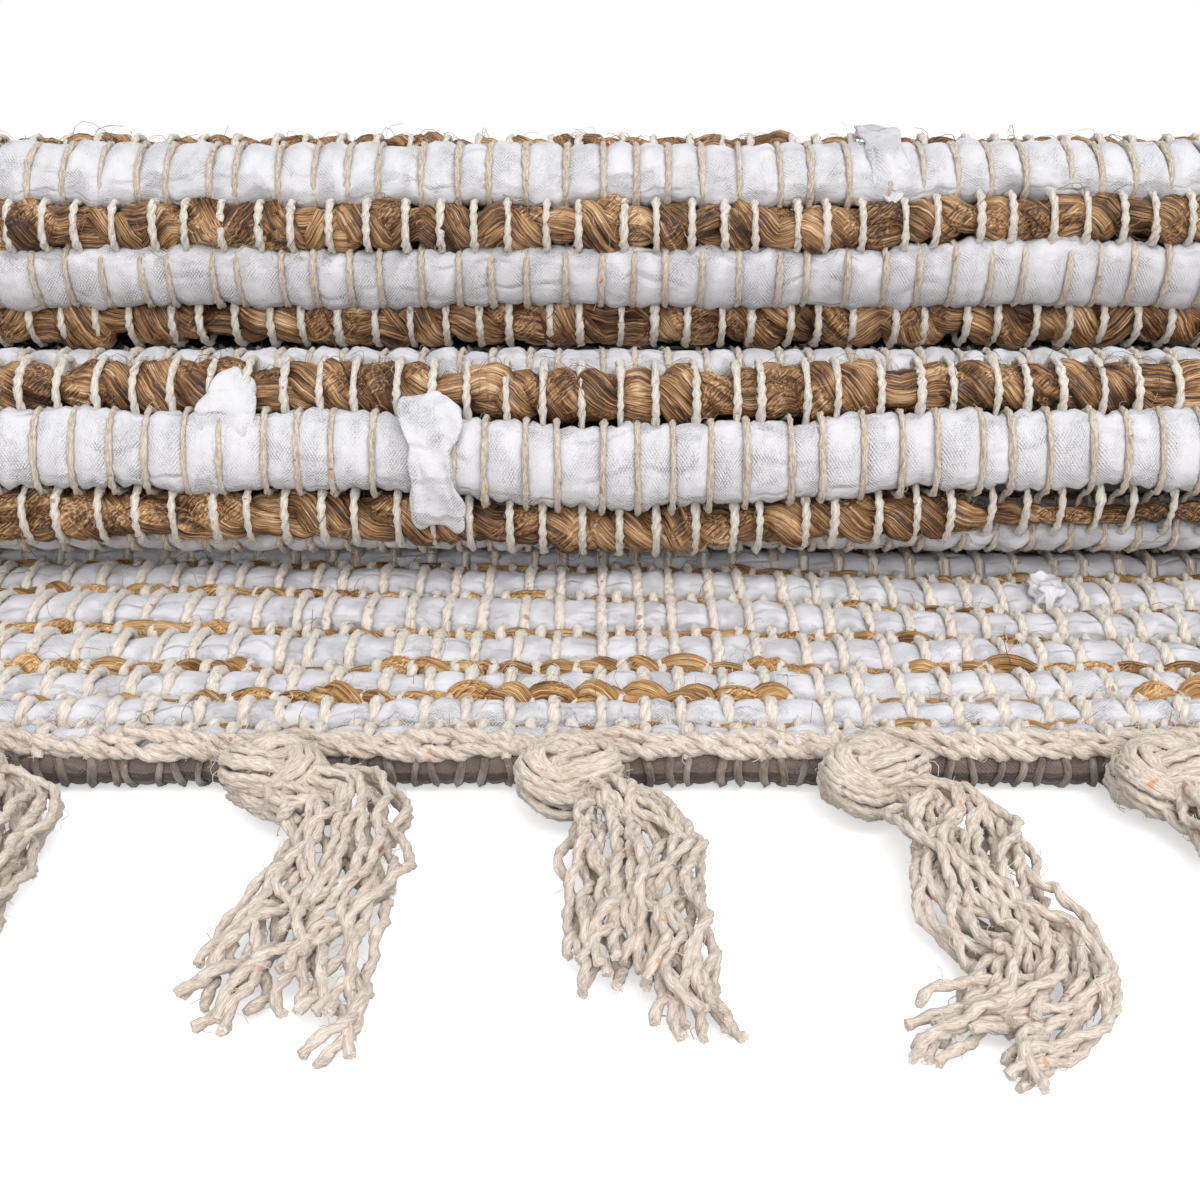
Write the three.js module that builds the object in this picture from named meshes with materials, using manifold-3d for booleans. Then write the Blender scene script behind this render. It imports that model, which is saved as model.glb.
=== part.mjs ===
// A hand-woven runner rug of cotton rag and jute, folded to and fro into five layers and laid on the floor.
// The front end of the bottom layer reaches out past the folds, with a fringe of knotted tassels.
// Millimetres. +X is across the rug, -Y is the front, +Z is up. The origin is under the middle of the pile.
//
// The rug is a plain weave. Its warp is the cotton yarn that runs the whole length of the rug. Its weft is
// the picks that lie across it, cotton rag and jute by turns. Each end is closed by a twined edge, and beyond
// it the warp yarns are knotted in bunches into tassels.

import * as THREE from 'three';
import { mergeVertices } from 'three/addons/utils/BufferGeometryUtils.js';
import Module from 'manifold-3d';

const wasm = await Module();
wasm.setup();

// Driving dimensions of the cloth.
const WARP_PITCH = 3.25; // from one warp yarn to the next
const WARPS_PER_TASSEL = 13;
const TASSELS = 18; // at each end of the rug
const WARP_GROUPS = 3; // the warp yarns are modelled side by side in groups
const WARP_YARN = 1.3; // thickness of the warp, above and below the weft
const CLOTH = 9; // thickness of the woven cloth
const PAIR_PITCH = 15.6; // one pick of rag and one pick of jute
const RAG_SHARE = 0.56; // the rag's part of that pitch
const CLEAR = 0.4; // between parts that touch
const CHORD = 0.24; // how far a facet may lie off the curve that it follows
const SELVEDGE = 4; // width of the weft's turn at the side of the rug

// Driving dimensions of the ends.
const EDGE = 4; // width of the twined edge
const EDGE_ROUND = 1.5;
const KNOT = 15; // across a tassel's knot
const SPREAD = 7.5; // radius of a tassel at its loose end
const TASSEL_LENGTH = 60;

// Driving dimensions of the pile. Y is measured from the front of the lower front fold.
const FRONT_REACH = 65; // the bottom layer reaches this far in front of the lower front fold
const TOP_REACH = 22; // the top layer reaches this far behind the centre of the upper back fold
const PANEL = 332.6; // from the lower front fold to the lower back fold, centre to centre
const FRONT_STEP = 26.5; // the upper front fold stands this far behind the lower one
const BACK_STEP = 14; // the upper back fold stands this far in front of the lower one
const FRONT_BEND = 13.85; // radius of a front fold, at the middle of the cloth
const BACK_BEND = 8.75;
const LAYER_PITCH = 9.6; // layers lying flat on each other
const SETTLE = 130; // length over which a layer sinks from a fold to the layer below
const TOP_END_HEIGHT = 58.5; // the middle of the cloth at the top layer's end

const WIDTH = WARP_PITCH * WARPS_PER_TASSEL * TASSELS;
const WEFT = CLOTH - 2 * (WARP_YARN + CLEAR);
const LOWER_FRONT = FRONT_BEND + CLOTH / 2;
const UPPER_FRONT = LOWER_FRONT + FRONT_STEP;
const LOWER_BACK = LOWER_FRONT + PANEL;
const UPPER_BACK = LOWER_BACK - BACK_STEP;

// The folds in the order the cloth passes through them, from the bottom layer up: the place of each centre
// along Y, the height of the cloth's middle where it enters the fold from below, and the radius.
const FOLDS = [
  { y: LOWER_BACK, low: 4.5, radius: BACK_BEND },
  { y: LOWER_FRONT, low: 13.9, radius: FRONT_BEND },
  { y: UPPER_BACK, low: 31.5, radius: BACK_BEND },
  { y: UPPER_FRONT, low: 50.3, radius: FRONT_BEND },
];
const LAYERS = FOLDS.length + 1;

const material = (name, color, roughness) =>
  new THREE.MeshStandardMaterial({ name, color, roughness, metalness: 0 });
const WARP_COTTON = material('warp_cotton', 0xd8cfc2, 0.9);
const RAG_COTTON = material('rag_cotton', 0xe9e8ee, 0.95);
const JUTE = material('jute', 0x8f6a45, 0.75);

// The half-wave along which a layer sinks or climbs between two heights. Its sharpest bend sets its steps.
class Sink extends THREE.Curve {
  constructor(from, to) {
    super();
    this.from = from;
    this.to = to;
    const sharpest = (Math.PI ** 2 * Math.abs(to.y - from.y)) / 2;
    this.steps = Math.max(1, Math.ceil(Math.sqrt(sharpest / (8 * CHORD))));
  }

  getPoint(t, target = new THREE.Vector2()) {
    const share = (1 - Math.cos(Math.PI * t)) / 2;
    return target.set(
      THREE.MathUtils.lerp(this.from.x, this.to.x, t),
      THREE.MathUtils.lerp(this.from.y, this.to.y, share),
    );
  }
}

// Half a turn of the cloth round the centre of a fold, from its bottom to its top.
class Bend extends THREE.EllipseCurve {
  constructor({ y, low, radius }, front) {
    const bottom = front ? 1.5 * Math.PI : -0.5 * Math.PI;
    super(y, low + radius, radius, radius, bottom, 0.5 * Math.PI, front);
    this.steps = 9;
  }
}

// The middle line of the folded cloth, seen from the side: x is the part's Y and y is its Z.
function foldedLine() {
  const line = new THREE.CurvePath();
  const lay = (from, to, layer) => {
    const way = Math.sign(to.x - from.x);
    const height = CLOTH / 2 + layer * LAYER_PITCH;
    const settled = new THREE.Vector2(from.x + way * SETTLE, height);
    const leaving = new THREE.Vector2(to.x - way * SETTLE, height);
    line.add(new Sink(from, settled));
    line.add(new Sink(settled, leaving));
    line.add(new Sink(leaving, to));
  };
  let from = new THREE.Vector2(-FRONT_REACH + EDGE + CLEAR, CLOTH / 2);
  FOLDS.forEach((fold, layer) => {
    lay(from, new THREE.Vector2(fold.y, fold.low), layer);
    line.add(new Bend(fold, layer % 2 === 1));
    from = new THREE.Vector2(fold.y, fold.low + 2 * fold.radius);
  });
  const overFold = new THREE.Vector2(UPPER_BACK, TOP_END_HEIGHT);
  lay(from, overFold, FOLDS.length);
  line.add(new Sink(overFold, new THREE.Vector2(UPPER_BACK + TOP_REACH, TOP_END_HEIGHT)));
  return line;
}

const line = foldedLine();
const LENGTH = line.getLength();

// A point of the cloth: its distance along the middle line and its height off that line, to the left.
function onCloth(along, off) {
  const share = THREE.MathUtils.clamp(along / LENGTH, 0, 1);
  const point = line.getPointAt(share);
  const tangent = line.getTangentAt(share);
  return new THREE.Vector2(point.x - tangent.y * off, point.y + tangent.x * off);
}

// Distances along the line at which it is sampled between two distances.
function stations(from, to) {
  const ends = line.getCurveLengths();
  const found = [from];
  line.curves.forEach((curve, i) => {
    const start = i ? ends[i - 1] : 0;
    for (let k = 0; k <= curve.steps; k++) {
      const along = THREE.MathUtils.lerp(start, ends[i], k / curve.steps);
      if (along > found[found.length - 1] + 1 && along < to - 1) found.push(along);
    }
  });
  return [...found, to];
}

// The outline of a strip of the cloth between two distances, between two heights off the middle line.
function strip(from, to, low, high) {
  const along = stations(from, to);
  return [...along.map((s) => onCloth(s, low)), ...along.reverse().map((s) => onCloth(s, high))];
}

// A side-view outline drawn out along X: the shape's x becomes Y and its y becomes Z.
function drawnAcross(shape, from, to) {
  const geometry = new THREE.ExtrudeGeometry(shape, { depth: to - from, bevelEnabled: false });
  const toPart = new THREE.Matrix4().makeBasis(
    new THREE.Vector3(0, 1, 0),
    new THREE.Vector3(0, 0, 1),
    new THREE.Vector3(1, 0, 0),
  );
  return geometry.applyMatrix4(toPart).translate(from, 0, 0);
}

function solid(geometry) {
  const bare = geometry.index ? geometry.toNonIndexed() : geometry.clone();
  bare.deleteAttribute('normal');
  bare.deleteAttribute('uv');
  const merged = mergeVertices(bare, 1e-4);
  return new wasm.Manifold(
    new wasm.Mesh({
      numProp: 3,
      vertProperties: merged.getAttribute('position').array,
      triVerts: new Uint32Array(merged.index.array),
    }),
  );
}

function geometryOf(manifold) {
  const mesh = manifold.getMesh();
  const geometry = new THREE.BufferGeometry();
  geometry.setAttribute('position', new THREE.BufferAttribute(new Float32Array(mesh.vertProperties), 3));
  geometry.setIndex(new THREE.BufferAttribute(new Uint32Array(mesh.triVerts), 1));
  geometry.computeVertexNormals();
  return geometry;
}

const rug = new THREE.Group();

function addPiece(name, geometry, finish) {
  const mesh = new THREE.Mesh(geometry, finish);
  mesh.name = name;
  rug.add(mesh);
  return mesh;
}

// One pick's side view: a flattened hexagon.
function pickShape(centre, width) {
  const half = width / 2 - CLEAR / 2;
  const shoulder = half * 0.55;
  const corners = [
    [-half, 0],
    [-shoulder, -WEFT / 2],
    [shoulder, -WEFT / 2],
    [half, 0],
    [shoulder, WEFT / 2],
    [-shoulder, WEFT / 2],
  ];
  return new THREE.Shape(corners.map(([s, off]) => onCloth(centre + s, off)));
}

// The picks of one layer, joined at the selvedge where the weft turns from one pick to the next.
function weftLayer(centres, width, side) {
  const inOrder = (...places) => places.map((x) => side * x).sort((p, q) => p - q);
  const inner = WIDTH / 2 + CLEAR / 2;
  const outer = inner + SELVEDGE;
  const half = CLOTH / 2 - WARP_YARN;
  const turn = new THREE.Shape(strip(centres[0], centres[centres.length - 1], -half, half));
  let joined = solid(drawnAcross(turn, ...inOrder(inner, outer)));
  const reach = inOrder(CLEAR / 2 - WIDTH / 2, inner + SELVEDGE / 2);
  for (const centre of centres) {
    joined = joined.add(solid(drawnAcross(pickShape(centre, width), ...reach)));
  }
  return geometryOf(joined);
}

// Picks are shared out to the layers at the tips of the folds.
function layerOf(along) {
  const ends = line.getCurveLengths();
  const passed = (curve, i) => curve instanceof Bend && along > (ends[i - 1] + ends[i]) / 2;
  return line.curves.filter(passed).length;
}

const RAG_WIDTH = PAIR_PITCH * RAG_SHARE;
const JUTE_WIDTH = PAIR_PITCH - RAG_WIDTH;
const PAIRS = Math.floor((LENGTH - RAG_WIDTH - 2 * (WARP_YARN + CLEAR)) / PAIR_PITCH);
const START = (LENGTH - PAIRS * PAIR_PITCH - RAG_WIDTH) / 2;
const picks = (count, first) => Array.from({ length: count }, (_, i) => first + i * PAIR_PITCH);
const ragPicks = picks(PAIRS + 1, START + RAG_WIDTH / 2);
const jutePicks = picks(PAIRS, START + RAG_WIDTH + JUTE_WIDTH / 2);

for (let layer = 0; layer < LAYERS; layer++) {
  const rag = ragPicks.filter((along) => layerOf(along) === layer);
  const jute = jutePicks.filter((along) => layerOf(along) === layer);
  addPiece(`cotton_rag_weft_layer_${layer + 1}`, weftLayer(rag, RAG_WIDTH, 1), RAG_COTTON);
  addPiece(`jute_weft_layer_${layer + 1}`, weftLayer(jute, JUTE_WIDTH, -1), JUTE);
}

// A group of warp yarns: over and under all the picks, and round the last pick at each end.
function warpGroup(left, right) {
  const outer = new THREE.Shape(strip(0, LENGTH, -CLOTH / 2, CLOTH / 2));
  const gap = CLOTH / 2 - WARP_YARN;
  outer.holes.push(new THREE.Path(strip(START - CLEAR, LENGTH - START + CLEAR, -gap, gap)));
  return drawnAcross(outer, left, right);
}

const GROUP_WIDTH = WIDTH / WARP_GROUPS;
for (let group = 0; group < WARP_GROUPS; group++) {
  const left = -WIDTH / 2 + group * GROUP_WIDTH;
  const yarns = warpGroup(left + CLEAR / 2, left + GROUP_WIDTH - CLEAR / 2);
  addPiece(`warp_group_${group + 1}`, yarns, WARP_COTTON);
}

// The twined edge: a bar with rounded corners across each end of the rug.
function twinedEdge(front, height) {
  const shape = new THREE.Shape();
  const back = front + EDGE;
  const low = height - CLOTH / 2;
  const high = height + CLOTH / 2;
  shape.moveTo(front + EDGE_ROUND, low);
  shape.lineTo(back, low);
  shape.lineTo(back, high);
  shape.lineTo(front + EDGE_ROUND, high);
  shape.lineTo(front, high - EDGE_ROUND);
  shape.lineTo(front, low + EDGE_ROUND);
  return drawnAcross(shape, -WIDTH / 2, WIDTH / 2);
}

const TOP_END = UPPER_BACK + TOP_REACH + CLEAR;
addPiece('front_twined_edge', twinedEdge(-FRONT_REACH, CLOTH / 2), WARP_COTTON);
const backEdge = addPiece('back_twined_edge', twinedEdge(0, 0), WARP_COTTON);
backEdge.rotation.z = Math.PI;
backEdge.position.set(0, TOP_END + EDGE, TOP_END_HEIGHT);

// A tassel, knot upwards: the knot, the neck under it and the loose yarns, which spread towards their ends.
// Its axis is Y and one of its six sides faces down.
function tassel() {
  const profile = [
    [0, 0],
    [KNOT * 0.3, 0],
    [KNOT / 2, -KNOT * 0.35],
    [KNOT * 0.42, -KNOT * 0.75],
    [KNOT * 0.3, -KNOT],
    [KNOT * 0.4, -TASSEL_LENGTH * 0.6],
    [SPREAD, -TASSEL_LENGTH],
    [0, -TASSEL_LENGTH],
  ];
  const points = profile.reverse().map(([radius, height]) => new THREE.Vector2(radius, height));
  return new THREE.LatheGeometry(points, 6, Math.PI / 6);
}

const TASSEL_PITCH = WARP_PITCH * WARPS_PER_TASSEL;
const LYING = 0.85; // a tassel that lies on the floor is flatter than it is wide
const FLAT_OF_SIX = Math.cos(Math.PI / 6);
for (let i = 0; i < TASSELS; i++) {
  const x = (i - (TASSELS - 1) / 2) * TASSEL_PITCH;
  const number = String(i + 1).padStart(2, '0');
  const lying = addPiece(`front_tassel_${number}`, tassel(), WARP_COTTON);
  lying.scale.z = LYING;
  lying.position.set(x, -FRONT_REACH - CLEAR, SPREAD * FLAT_OF_SIX * LYING);
  const hanging = addPiece(`back_tassel_${number}`, tassel(), WARP_COTTON);
  hanging.rotation.x = Math.PI / 2;
  hanging.position.set(x, TOP_END + EDGE + CLEAR + SPREAD * FLAT_OF_SIX, TOP_END_HEIGHT + CLOTH / 2);
}

// Everything so far is measured from the lower front fold: the group is centred over its own foot.
const frontmost = -FRONT_REACH - CLEAR - TASSEL_LENGTH;
const rearmost = TOP_END + EDGE + CLEAR + 2 * SPREAD * FLAT_OF_SIX;
for (const piece of rug.children) piece.position.y -= (frontmost + rearmost) / 2;

export default rug;
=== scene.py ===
"""A runner rug woven of cotton rag and jute, folded to and fro: its yarns, picks, edges and tassels."""

import logging
import math
from collections.abc import Iterator, Sequence
from dataclasses import dataclass, field
from enum import Enum, IntEnum

import bpy
import numpy as np
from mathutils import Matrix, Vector


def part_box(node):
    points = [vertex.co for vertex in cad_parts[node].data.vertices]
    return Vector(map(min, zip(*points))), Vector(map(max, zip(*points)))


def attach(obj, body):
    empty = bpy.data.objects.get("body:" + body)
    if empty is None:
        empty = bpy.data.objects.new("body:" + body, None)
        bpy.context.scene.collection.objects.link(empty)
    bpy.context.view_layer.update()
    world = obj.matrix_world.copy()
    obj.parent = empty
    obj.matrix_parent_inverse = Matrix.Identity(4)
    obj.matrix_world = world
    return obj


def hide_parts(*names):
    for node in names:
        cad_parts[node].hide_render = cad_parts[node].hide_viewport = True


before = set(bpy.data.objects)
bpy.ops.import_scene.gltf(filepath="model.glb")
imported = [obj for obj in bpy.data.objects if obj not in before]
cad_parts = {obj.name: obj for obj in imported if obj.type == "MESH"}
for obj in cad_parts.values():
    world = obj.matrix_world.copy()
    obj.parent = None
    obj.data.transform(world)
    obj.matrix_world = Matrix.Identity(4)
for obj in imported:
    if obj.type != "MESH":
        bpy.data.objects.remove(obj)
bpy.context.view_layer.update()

log = logging.getLogger("runner_rug")

MM = 0.001
Array = np.ndarray
Colour = tuple[float, float, float]
Socket = bpy.types.NodeSocket
Surface = bpy.types.Material
Piece = bpy.types.Object


class Kind(Enum):
    """What a pick is made of."""

    RAG = "rag"
    JUTE = "jute"


class Detail(Enum):
    """How closely a stretch of the rug is looked at."""

    HIDDEN = 0
    PLAIN = 1
    CLOSE = 2


class Draw(IntEnum):
    """What a stream of random numbers is for."""

    WARP_PLACES = 1
    RAG_PICK = 2
    JUTE_PICK = 3
    WARP_YARN = 5
    CORD = 6
    END_ROLL = 7
    FRINGE_YARN = 8
    TASSEL_POSE = 9
    FRINGE_LOT = 10
    HUMP = 11
    RAG_END = 12
    WRAP = 13
    CLUMP = 14


SEED = 7301


def noise_rng(draw: Draw, *key: int) -> np.random.Generator:
    """Returns the seeded random generator that belongs to a use and a key."""
    return np.random.default_rng([SEED, draw, *key])


def smooth_step(low: float, high: float, value: Array) -> Array:
    """Returns 0 below low, 1 above high and a smooth climb between them."""
    t = np.clip((value - low) / (high - low), 0, 1)
    return t * t * (3 - 2 * t)


def ripple(x: Array, rng: np.random.Generator, wavelength: float, waves: int = 5) -> Array:
    """Makes a smooth irregular function of x.

    Args:
        x: Where to evaluate it, in mm.
        rng: Source of the phases.
        wavelength: The middle wavelength, in mm.
        waves: How many sine waves are added.

    Returns:
        Values with a standard deviation near 1.
    """
    total = np.zeros_like(x, dtype=float)
    for _ in range(waves):
        length = wavelength * rng.uniform(0.55, 1.9)
        total += np.sin(2 * math.pi * (x / length + rng.uniform()))
    return total / math.sqrt(waves / 2)


def soften(values: Array, size: int) -> Array:
    """Returns a row of numbers smoothed by a window of an odd size."""
    window = np.hanning(size + 2)[1:-1]
    return np.convolve(np.pad(values, size // 2, mode="edge"), window / window.sum(), "valid")


def beside(yarns: Array, x: Array) -> tuple[Array, Array]:
    """Returns the number of the yarn to the right of each place, and how far off the nearest yarn is."""
    right = np.clip(np.searchsorted(yarns, x), 1, len(yarns) - 1)
    return right, np.minimum(np.abs(x - yarns[right - 1]), np.abs(x - yarns[right]))


def put(name: str, data: bpy.types.ID) -> Piece:
    """Makes an object of some data and links it to the scene."""
    thing = bpy.data.objects.new(name, data)
    bpy.context.scene.collection.objects.link(thing)
    return thing


# ------------------------------------------------------------------ node trees


class Graph:
    """A node tree under construction."""

    def __init__(self, tree: bpy.types.NodeTree) -> None:
        """Starts an empty graph on a tree."""
        self.tree = tree
        self.tree.nodes.clear()

    def add(self, kind: str, feeds: dict | None = None, **settings: object) -> bpy.types.Node:
        """Adds one node.

        Args:
            kind: The node's type.
            feeds: Input name or number to a value or a socket.
            settings: Properties to set on the node.

        Returns:
            The new node.
        """
        node = self.tree.nodes.new(kind)
        for name, value in settings.items():
            setattr(node, name, value)
        for key, value in (feeds or {}).items():
            self.feed(node.inputs[key], value)
        return node

    def feed(self, socket: Socket, value: object) -> None:
        """Links a socket to the input, or sets the input's own value."""
        if isinstance(value, Socket):
            self.tree.links.new(value, socket)
        else:
            socket.default_value = value

    def math(self, operation: str, *values: object) -> Socket:
        """Returns the result of a Math node on one to three values."""
        node = self.add("ShaderNodeMath", operation=operation)
        for socket, value in zip(node.inputs, values):
            self.feed(socket, value)
        return node.outputs[0]

    def times(self, first: object, second: object) -> Socket:
        """Returns the product of two numbers."""
        return self.math("MULTIPLY", first, second)

    def plus(self, first: object, second: object) -> Socket:
        """Returns the sum of two numbers."""
        return self.math("ADD", first, second)

    def minus(self, first: object, second: object) -> Socket:
        """Returns the difference of two numbers."""
        return self.math("SUBTRACT", first, second)

    def vector(self, operation: str, first: object, second: object) -> Socket:
        """Returns the vector result of a Vector Math node, where SCALE takes a number second."""
        node = self.add("ShaderNodeVectorMath", operation=operation)
        self.feed(node.inputs[0], first)
        self.feed(node.inputs["Scale" if operation == "SCALE" else 1], second)
        return node.outputs[0]


class Material(Graph):
    """A surface made of nodes, ending in one Principled shader."""

    def __init__(self, name: str) -> None:
        """Makes the material and its shader."""
        self.material = bpy.data.materials.new(name)
        self.material.use_nodes = True
        super().__init__(self.material.node_tree)
        self.shader = self.add("ShaderNodeBsdfPrincipled")
        output = self.add("ShaderNodeOutputMaterial")
        self.feed(output.inputs["Surface"], self.shader.outputs[0])

    def attribute(self, name: str) -> Socket:
        """Returns the vector that the piece stores under a name."""
        return self.add("ShaderNodeAttribute", attribute_name=name).outputs["Vector"]

    def noise(self, place: object, scale: float, stretch: Colour = (1, 1, 1), detail: float = 2.0) -> Socket:
        """Returns a noise value.

        Args:
            place: The vector it is read at.
            scale: How many features there are in a unit.
            stretch: Factors on the three axes.
            detail: How many finer layers it has.
        """
        stretched = self.vector("MULTIPLY", place, stretch)
        node = self.add(
            "ShaderNodeTexNoise",
            {"Vector": stretched, "Scale": scale, "Detail": detail, "Roughness": 0.55},
        )
        return node.outputs[0]

    def ramp(self, value: object, stops: Sequence[tuple[float, Colour]]) -> Socket:
        """Returns the colour that a value picks from a ramp of (position, colour) stops."""
        node = self.add("ShaderNodeValToRGB", {0: value})
        elements = node.color_ramp.elements
        while len(elements) < len(stops):
            elements.new(0.5)
        for element, (position, colour) in zip(elements, stops):
            element.position = position
            element.color = (*colour, 1)
        return node.outputs[0]

    def band(self, value: object, low: float, high: float) -> Socket:
        """Returns a value mapped from low..high to 0..1, clamped."""
        feeds = {"Value": value, "From Min": low, "From Max": high}
        return self.add("ShaderNodeMapRange", feeds).outputs[0]

    def mix(self, share: object, first: object, second: object) -> Socket:
        """Returns a mix of two colours."""
        node = self.add("ShaderNodeMix", data_type="RGBA")
        self.feed(node.inputs["Factor"], share)
        for socket, value in ((node.inputs[6], first), (node.inputs[7], second)):
            self.feed(socket, value if isinstance(value, Socket) else (*value, 1))
        return node.outputs[2]

    def bump(self, height: object, distance: float, strength: float, under: object = None) -> Socket:
        """Returns a normal bent by a height.

        Args:
            height: The height, 0 to 1.
            distance: What a height of 1 stands for, in metres.
            strength: The share of the effect.
            under: A normal to start from.
        """
        feeds = {"Height": height, "Distance": distance, "Strength": strength}
        if under is not None:
            feeds["Normal"] = under
        return self.add("ShaderNodeBump", feeds).outputs[0]

    def finish(self, colour: object, roughness: float, normal: object, **constants: float) -> Surface:
        """Feeds the shader and returns the finished material.

        Args:
            colour: The base colour.
            roughness: The roughness.
            normal: The normal.
            constants: Further shader inputs, with _ for a space in the name, to their numbers.
        """
        feeds = {"Base Color": colour, "Roughness": roughness, "Normal": normal}
        for name, value in feeds.items():
            self.feed(self.shader.inputs[name], value)
        for name, number in constants.items():
            self.shader.inputs[name.replace("_", " ")].default_value = number
        return self.material


@dataclass(frozen=True)
class RagCotton:
    """Bleached cotton jersey, torn into strips."""

    name: str = "rag_cotton"
    colour: Colour = (0.725, 0.72, 0.755)
    shade: Colour = (0.56, 0.535, 0.575)
    stitch: float = 0.54
    course: float = 0.47
    crease_gap: float = 4.2

    def material(self) -> Surface:
        """Returns the material, which reads the cloth attribute: mm along and around the pick."""
        m = Material(self.name)
        place = m.attribute("cloth")
        parts = m.add("ShaderNodeSeparateXYZ", {0: place}).outputs
        drift = m.times(m.noise(place, 0.35), 1.6)
        across = m.math("SINE", m.times(parts[0], 2 * math.pi / self.stitch))
        along = m.plus(m.times(parts[1], 2 * math.pi / self.course), drift)
        knit = m.math("MULTIPLY_ADD", m.times(across, m.math("SINE", along)), 0.5, 0.5)
        patchy = m.band(m.noise(place, 0.22), 0.35, 0.65)
        swing = m.times(m.noise(place, 1.0, (0.055, 0.03, 1), 1.5), 2.4)
        lane = m.math("FRACT", m.plus(m.math("DIVIDE", parts[1], self.crease_gap), swing))
        off_line = m.band(m.math("ABSOLUTE", m.minus(lane, 0.5)), 0.0, 0.15)
        here = m.band(m.noise(place, 1.0, (0.1, 0.2, 1), 1.0), 0.46, 0.58)
        crease = m.times(m.minus(1.0, off_line), here)
        lint = m.noise(place, 4.6, (1, 1, 1), 3.0)
        ruck = m.noise(place, 1.0, (0.24, 0.5, 1), 1.5)
        mottle = m.band(m.noise(place, 0.5, (1, 1, 1), 2.0), 0.3, 0.75)
        tint = m.mix(m.times(mottle, 0.16), self.colour, self.shade)
        # Painted shade: the knit's hollows, where the bump is lowest, take the shade colour.
        hollow = m.minus(1.0, m.band(knit, 0.0, 0.22))
        pits = m.times(hollow, m.times(patchy, 0.42))
        tint = m.mix(pits, tint, self.shade)
        # Painted shade: the tint darkens towards lilac grey along the crease lines.
        tint = m.mix(m.times(crease, 0.16), tint, (0.42, 0.37, 0.40))
        normal = m.bump(ruck, 1.6 * MM, 0.4)
        normal = m.bump(crease, -0.5 * MM, 0.7, normal)
        normal = m.bump(m.times(knit, patchy), 0.28 * MM, 1.0, normal)
        normal = m.bump(lint, 0.22 * MM, 0.75, normal)
        return m.finish(tint, 0.95, normal, Sheen_Weight=0.3, Sheen_Roughness=0.6, Specular_IOR_Level=0.08)


@dataclass(frozen=True)
class JuteFibre:
    """Undyed jute roving, hairy and a little glossy."""

    name: str = "jute"
    deep: Colour = (0.022, 0.009, 0.004)
    dark: Colour = (0.090, 0.040, 0.016)
    middle: Colour = (0.250, 0.124, 0.052)
    golden: Colour = (0.47, 0.265, 0.120)
    pale: Colour = (0.78, 0.55, 0.34)
    slant: float = 0.75

    def material(self) -> Surface:
        """Returns the material, which reads the fibre attribute: mm along and shares across the ply."""
        m = Material(self.name)
        spot = m.add("ShaderNodeTexCoord").outputs["Object"]
        tangle = m.add("ShaderNodeTexNoise", {"Vector": spot, "Scale": 210.0, "Detail": 2.0}).outputs[1]
        stray = m.vector("MULTIPLY", tangle, (3.0, 0.16, 0.16))
        place = m.vector("ADD", m.attribute("fibre"), stray)
        streak = m.noise(place, 1.0, (0.11, 19.0, 19.0), 3.0)
        slanting = m.add("ShaderNodeMapping", {"Vector": spot, "Rotation": (0.0, self.slant, 0.0)}).outputs[0]
        slanting = m.vector("ADD", m.vector("SCALE", slanting, 1000.0), m.vector("SCALE", tangle, 1.1))
        crossing = m.noise(slanting, 1.0, (0.13, 3.2, 3.2), 3.0)
        share = m.band(m.noise(spot, 125.0, (1, 1, 1), 0.0), 0.52, 0.58)
        streak = m.math("MULTIPLY_ADD", m.minus(crossing, streak), share, streak)
        strand = m.noise(place, 1.0, (0.10, 3.4, 3.4), 2.0)
        patch = m.noise(spot, 105.0, (1, 1, 1), 2.0)
        mixed = m.plus(m.times(streak, 0.66), m.times(strand, 0.34))
        mixed = m.plus(mixed, m.times(m.minus(patch, 0.5), 0.40))
        stops = (
            (0.36, self.deep), (0.43, self.dark), (0.50, self.middle), (0.57, self.golden), (0.66, self.pale),
        )
        tint = m.ramp(mixed, stops)
        normal = m.bump(strand, 1.3 * MM, 0.9)
        normal = m.bump(streak, 0.34 * MM, 1.0, normal)
        return m.finish(tint, 0.5, normal, Specular_IOR_Level=0.45)


@dataclass(frozen=True)
class WarpCotton:
    """Unbleached two-ply cotton yarn with stray coloured fibres."""

    name: str = "warp_cotton"
    colour: Colour = (0.70, 0.615, 0.51)
    shade: Colour = (0.37, 0.295, 0.22)

    def material(self) -> Surface:
        """Returns the material, which reads the fibre attribute: mm along and across the ply."""
        m = Material(self.name)
        place = m.attribute("fibre")
        spot = m.add("ShaderNodeTexCoord").outputs["Object"]
        streak = m.noise(place, 1.0, (0.9, 5.0, 5.0), 3.0)
        slub = m.noise(spot, 260.0, (1, 1, 1), 2.0)
        tint = m.mix(m.band(streak, 0.38, 0.62), self.shade, self.colour)
        tint = m.mix(m.times(m.band(slub, 0.45, 0.75), 0.4), tint, (0.80, 0.735, 0.65))
        for k, stray in enumerate(((0.62, 0.27, 0.07), (0.34, 0.12, 0.08), (0.08, 0.12, 0.16))):
            moved = m.vector("ADD", spot, (0.31 * k, 0.17, 0.07 * k))
            speck = m.band(m.noise(moved, 620.0, (1, 1, 1), 0.0), 0.81 + 0.01 * k, 0.84 + 0.01 * k)
            tint = m.mix(m.times(speck, 0.7), tint, stray)
        normal = m.bump(streak, 0.22 * MM, 0.9)
        return m.finish(tint, 0.9, normal, Sheen_Weight=0.35, Sheen_Roughness=0.5, Specular_IOR_Level=0.2)


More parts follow.
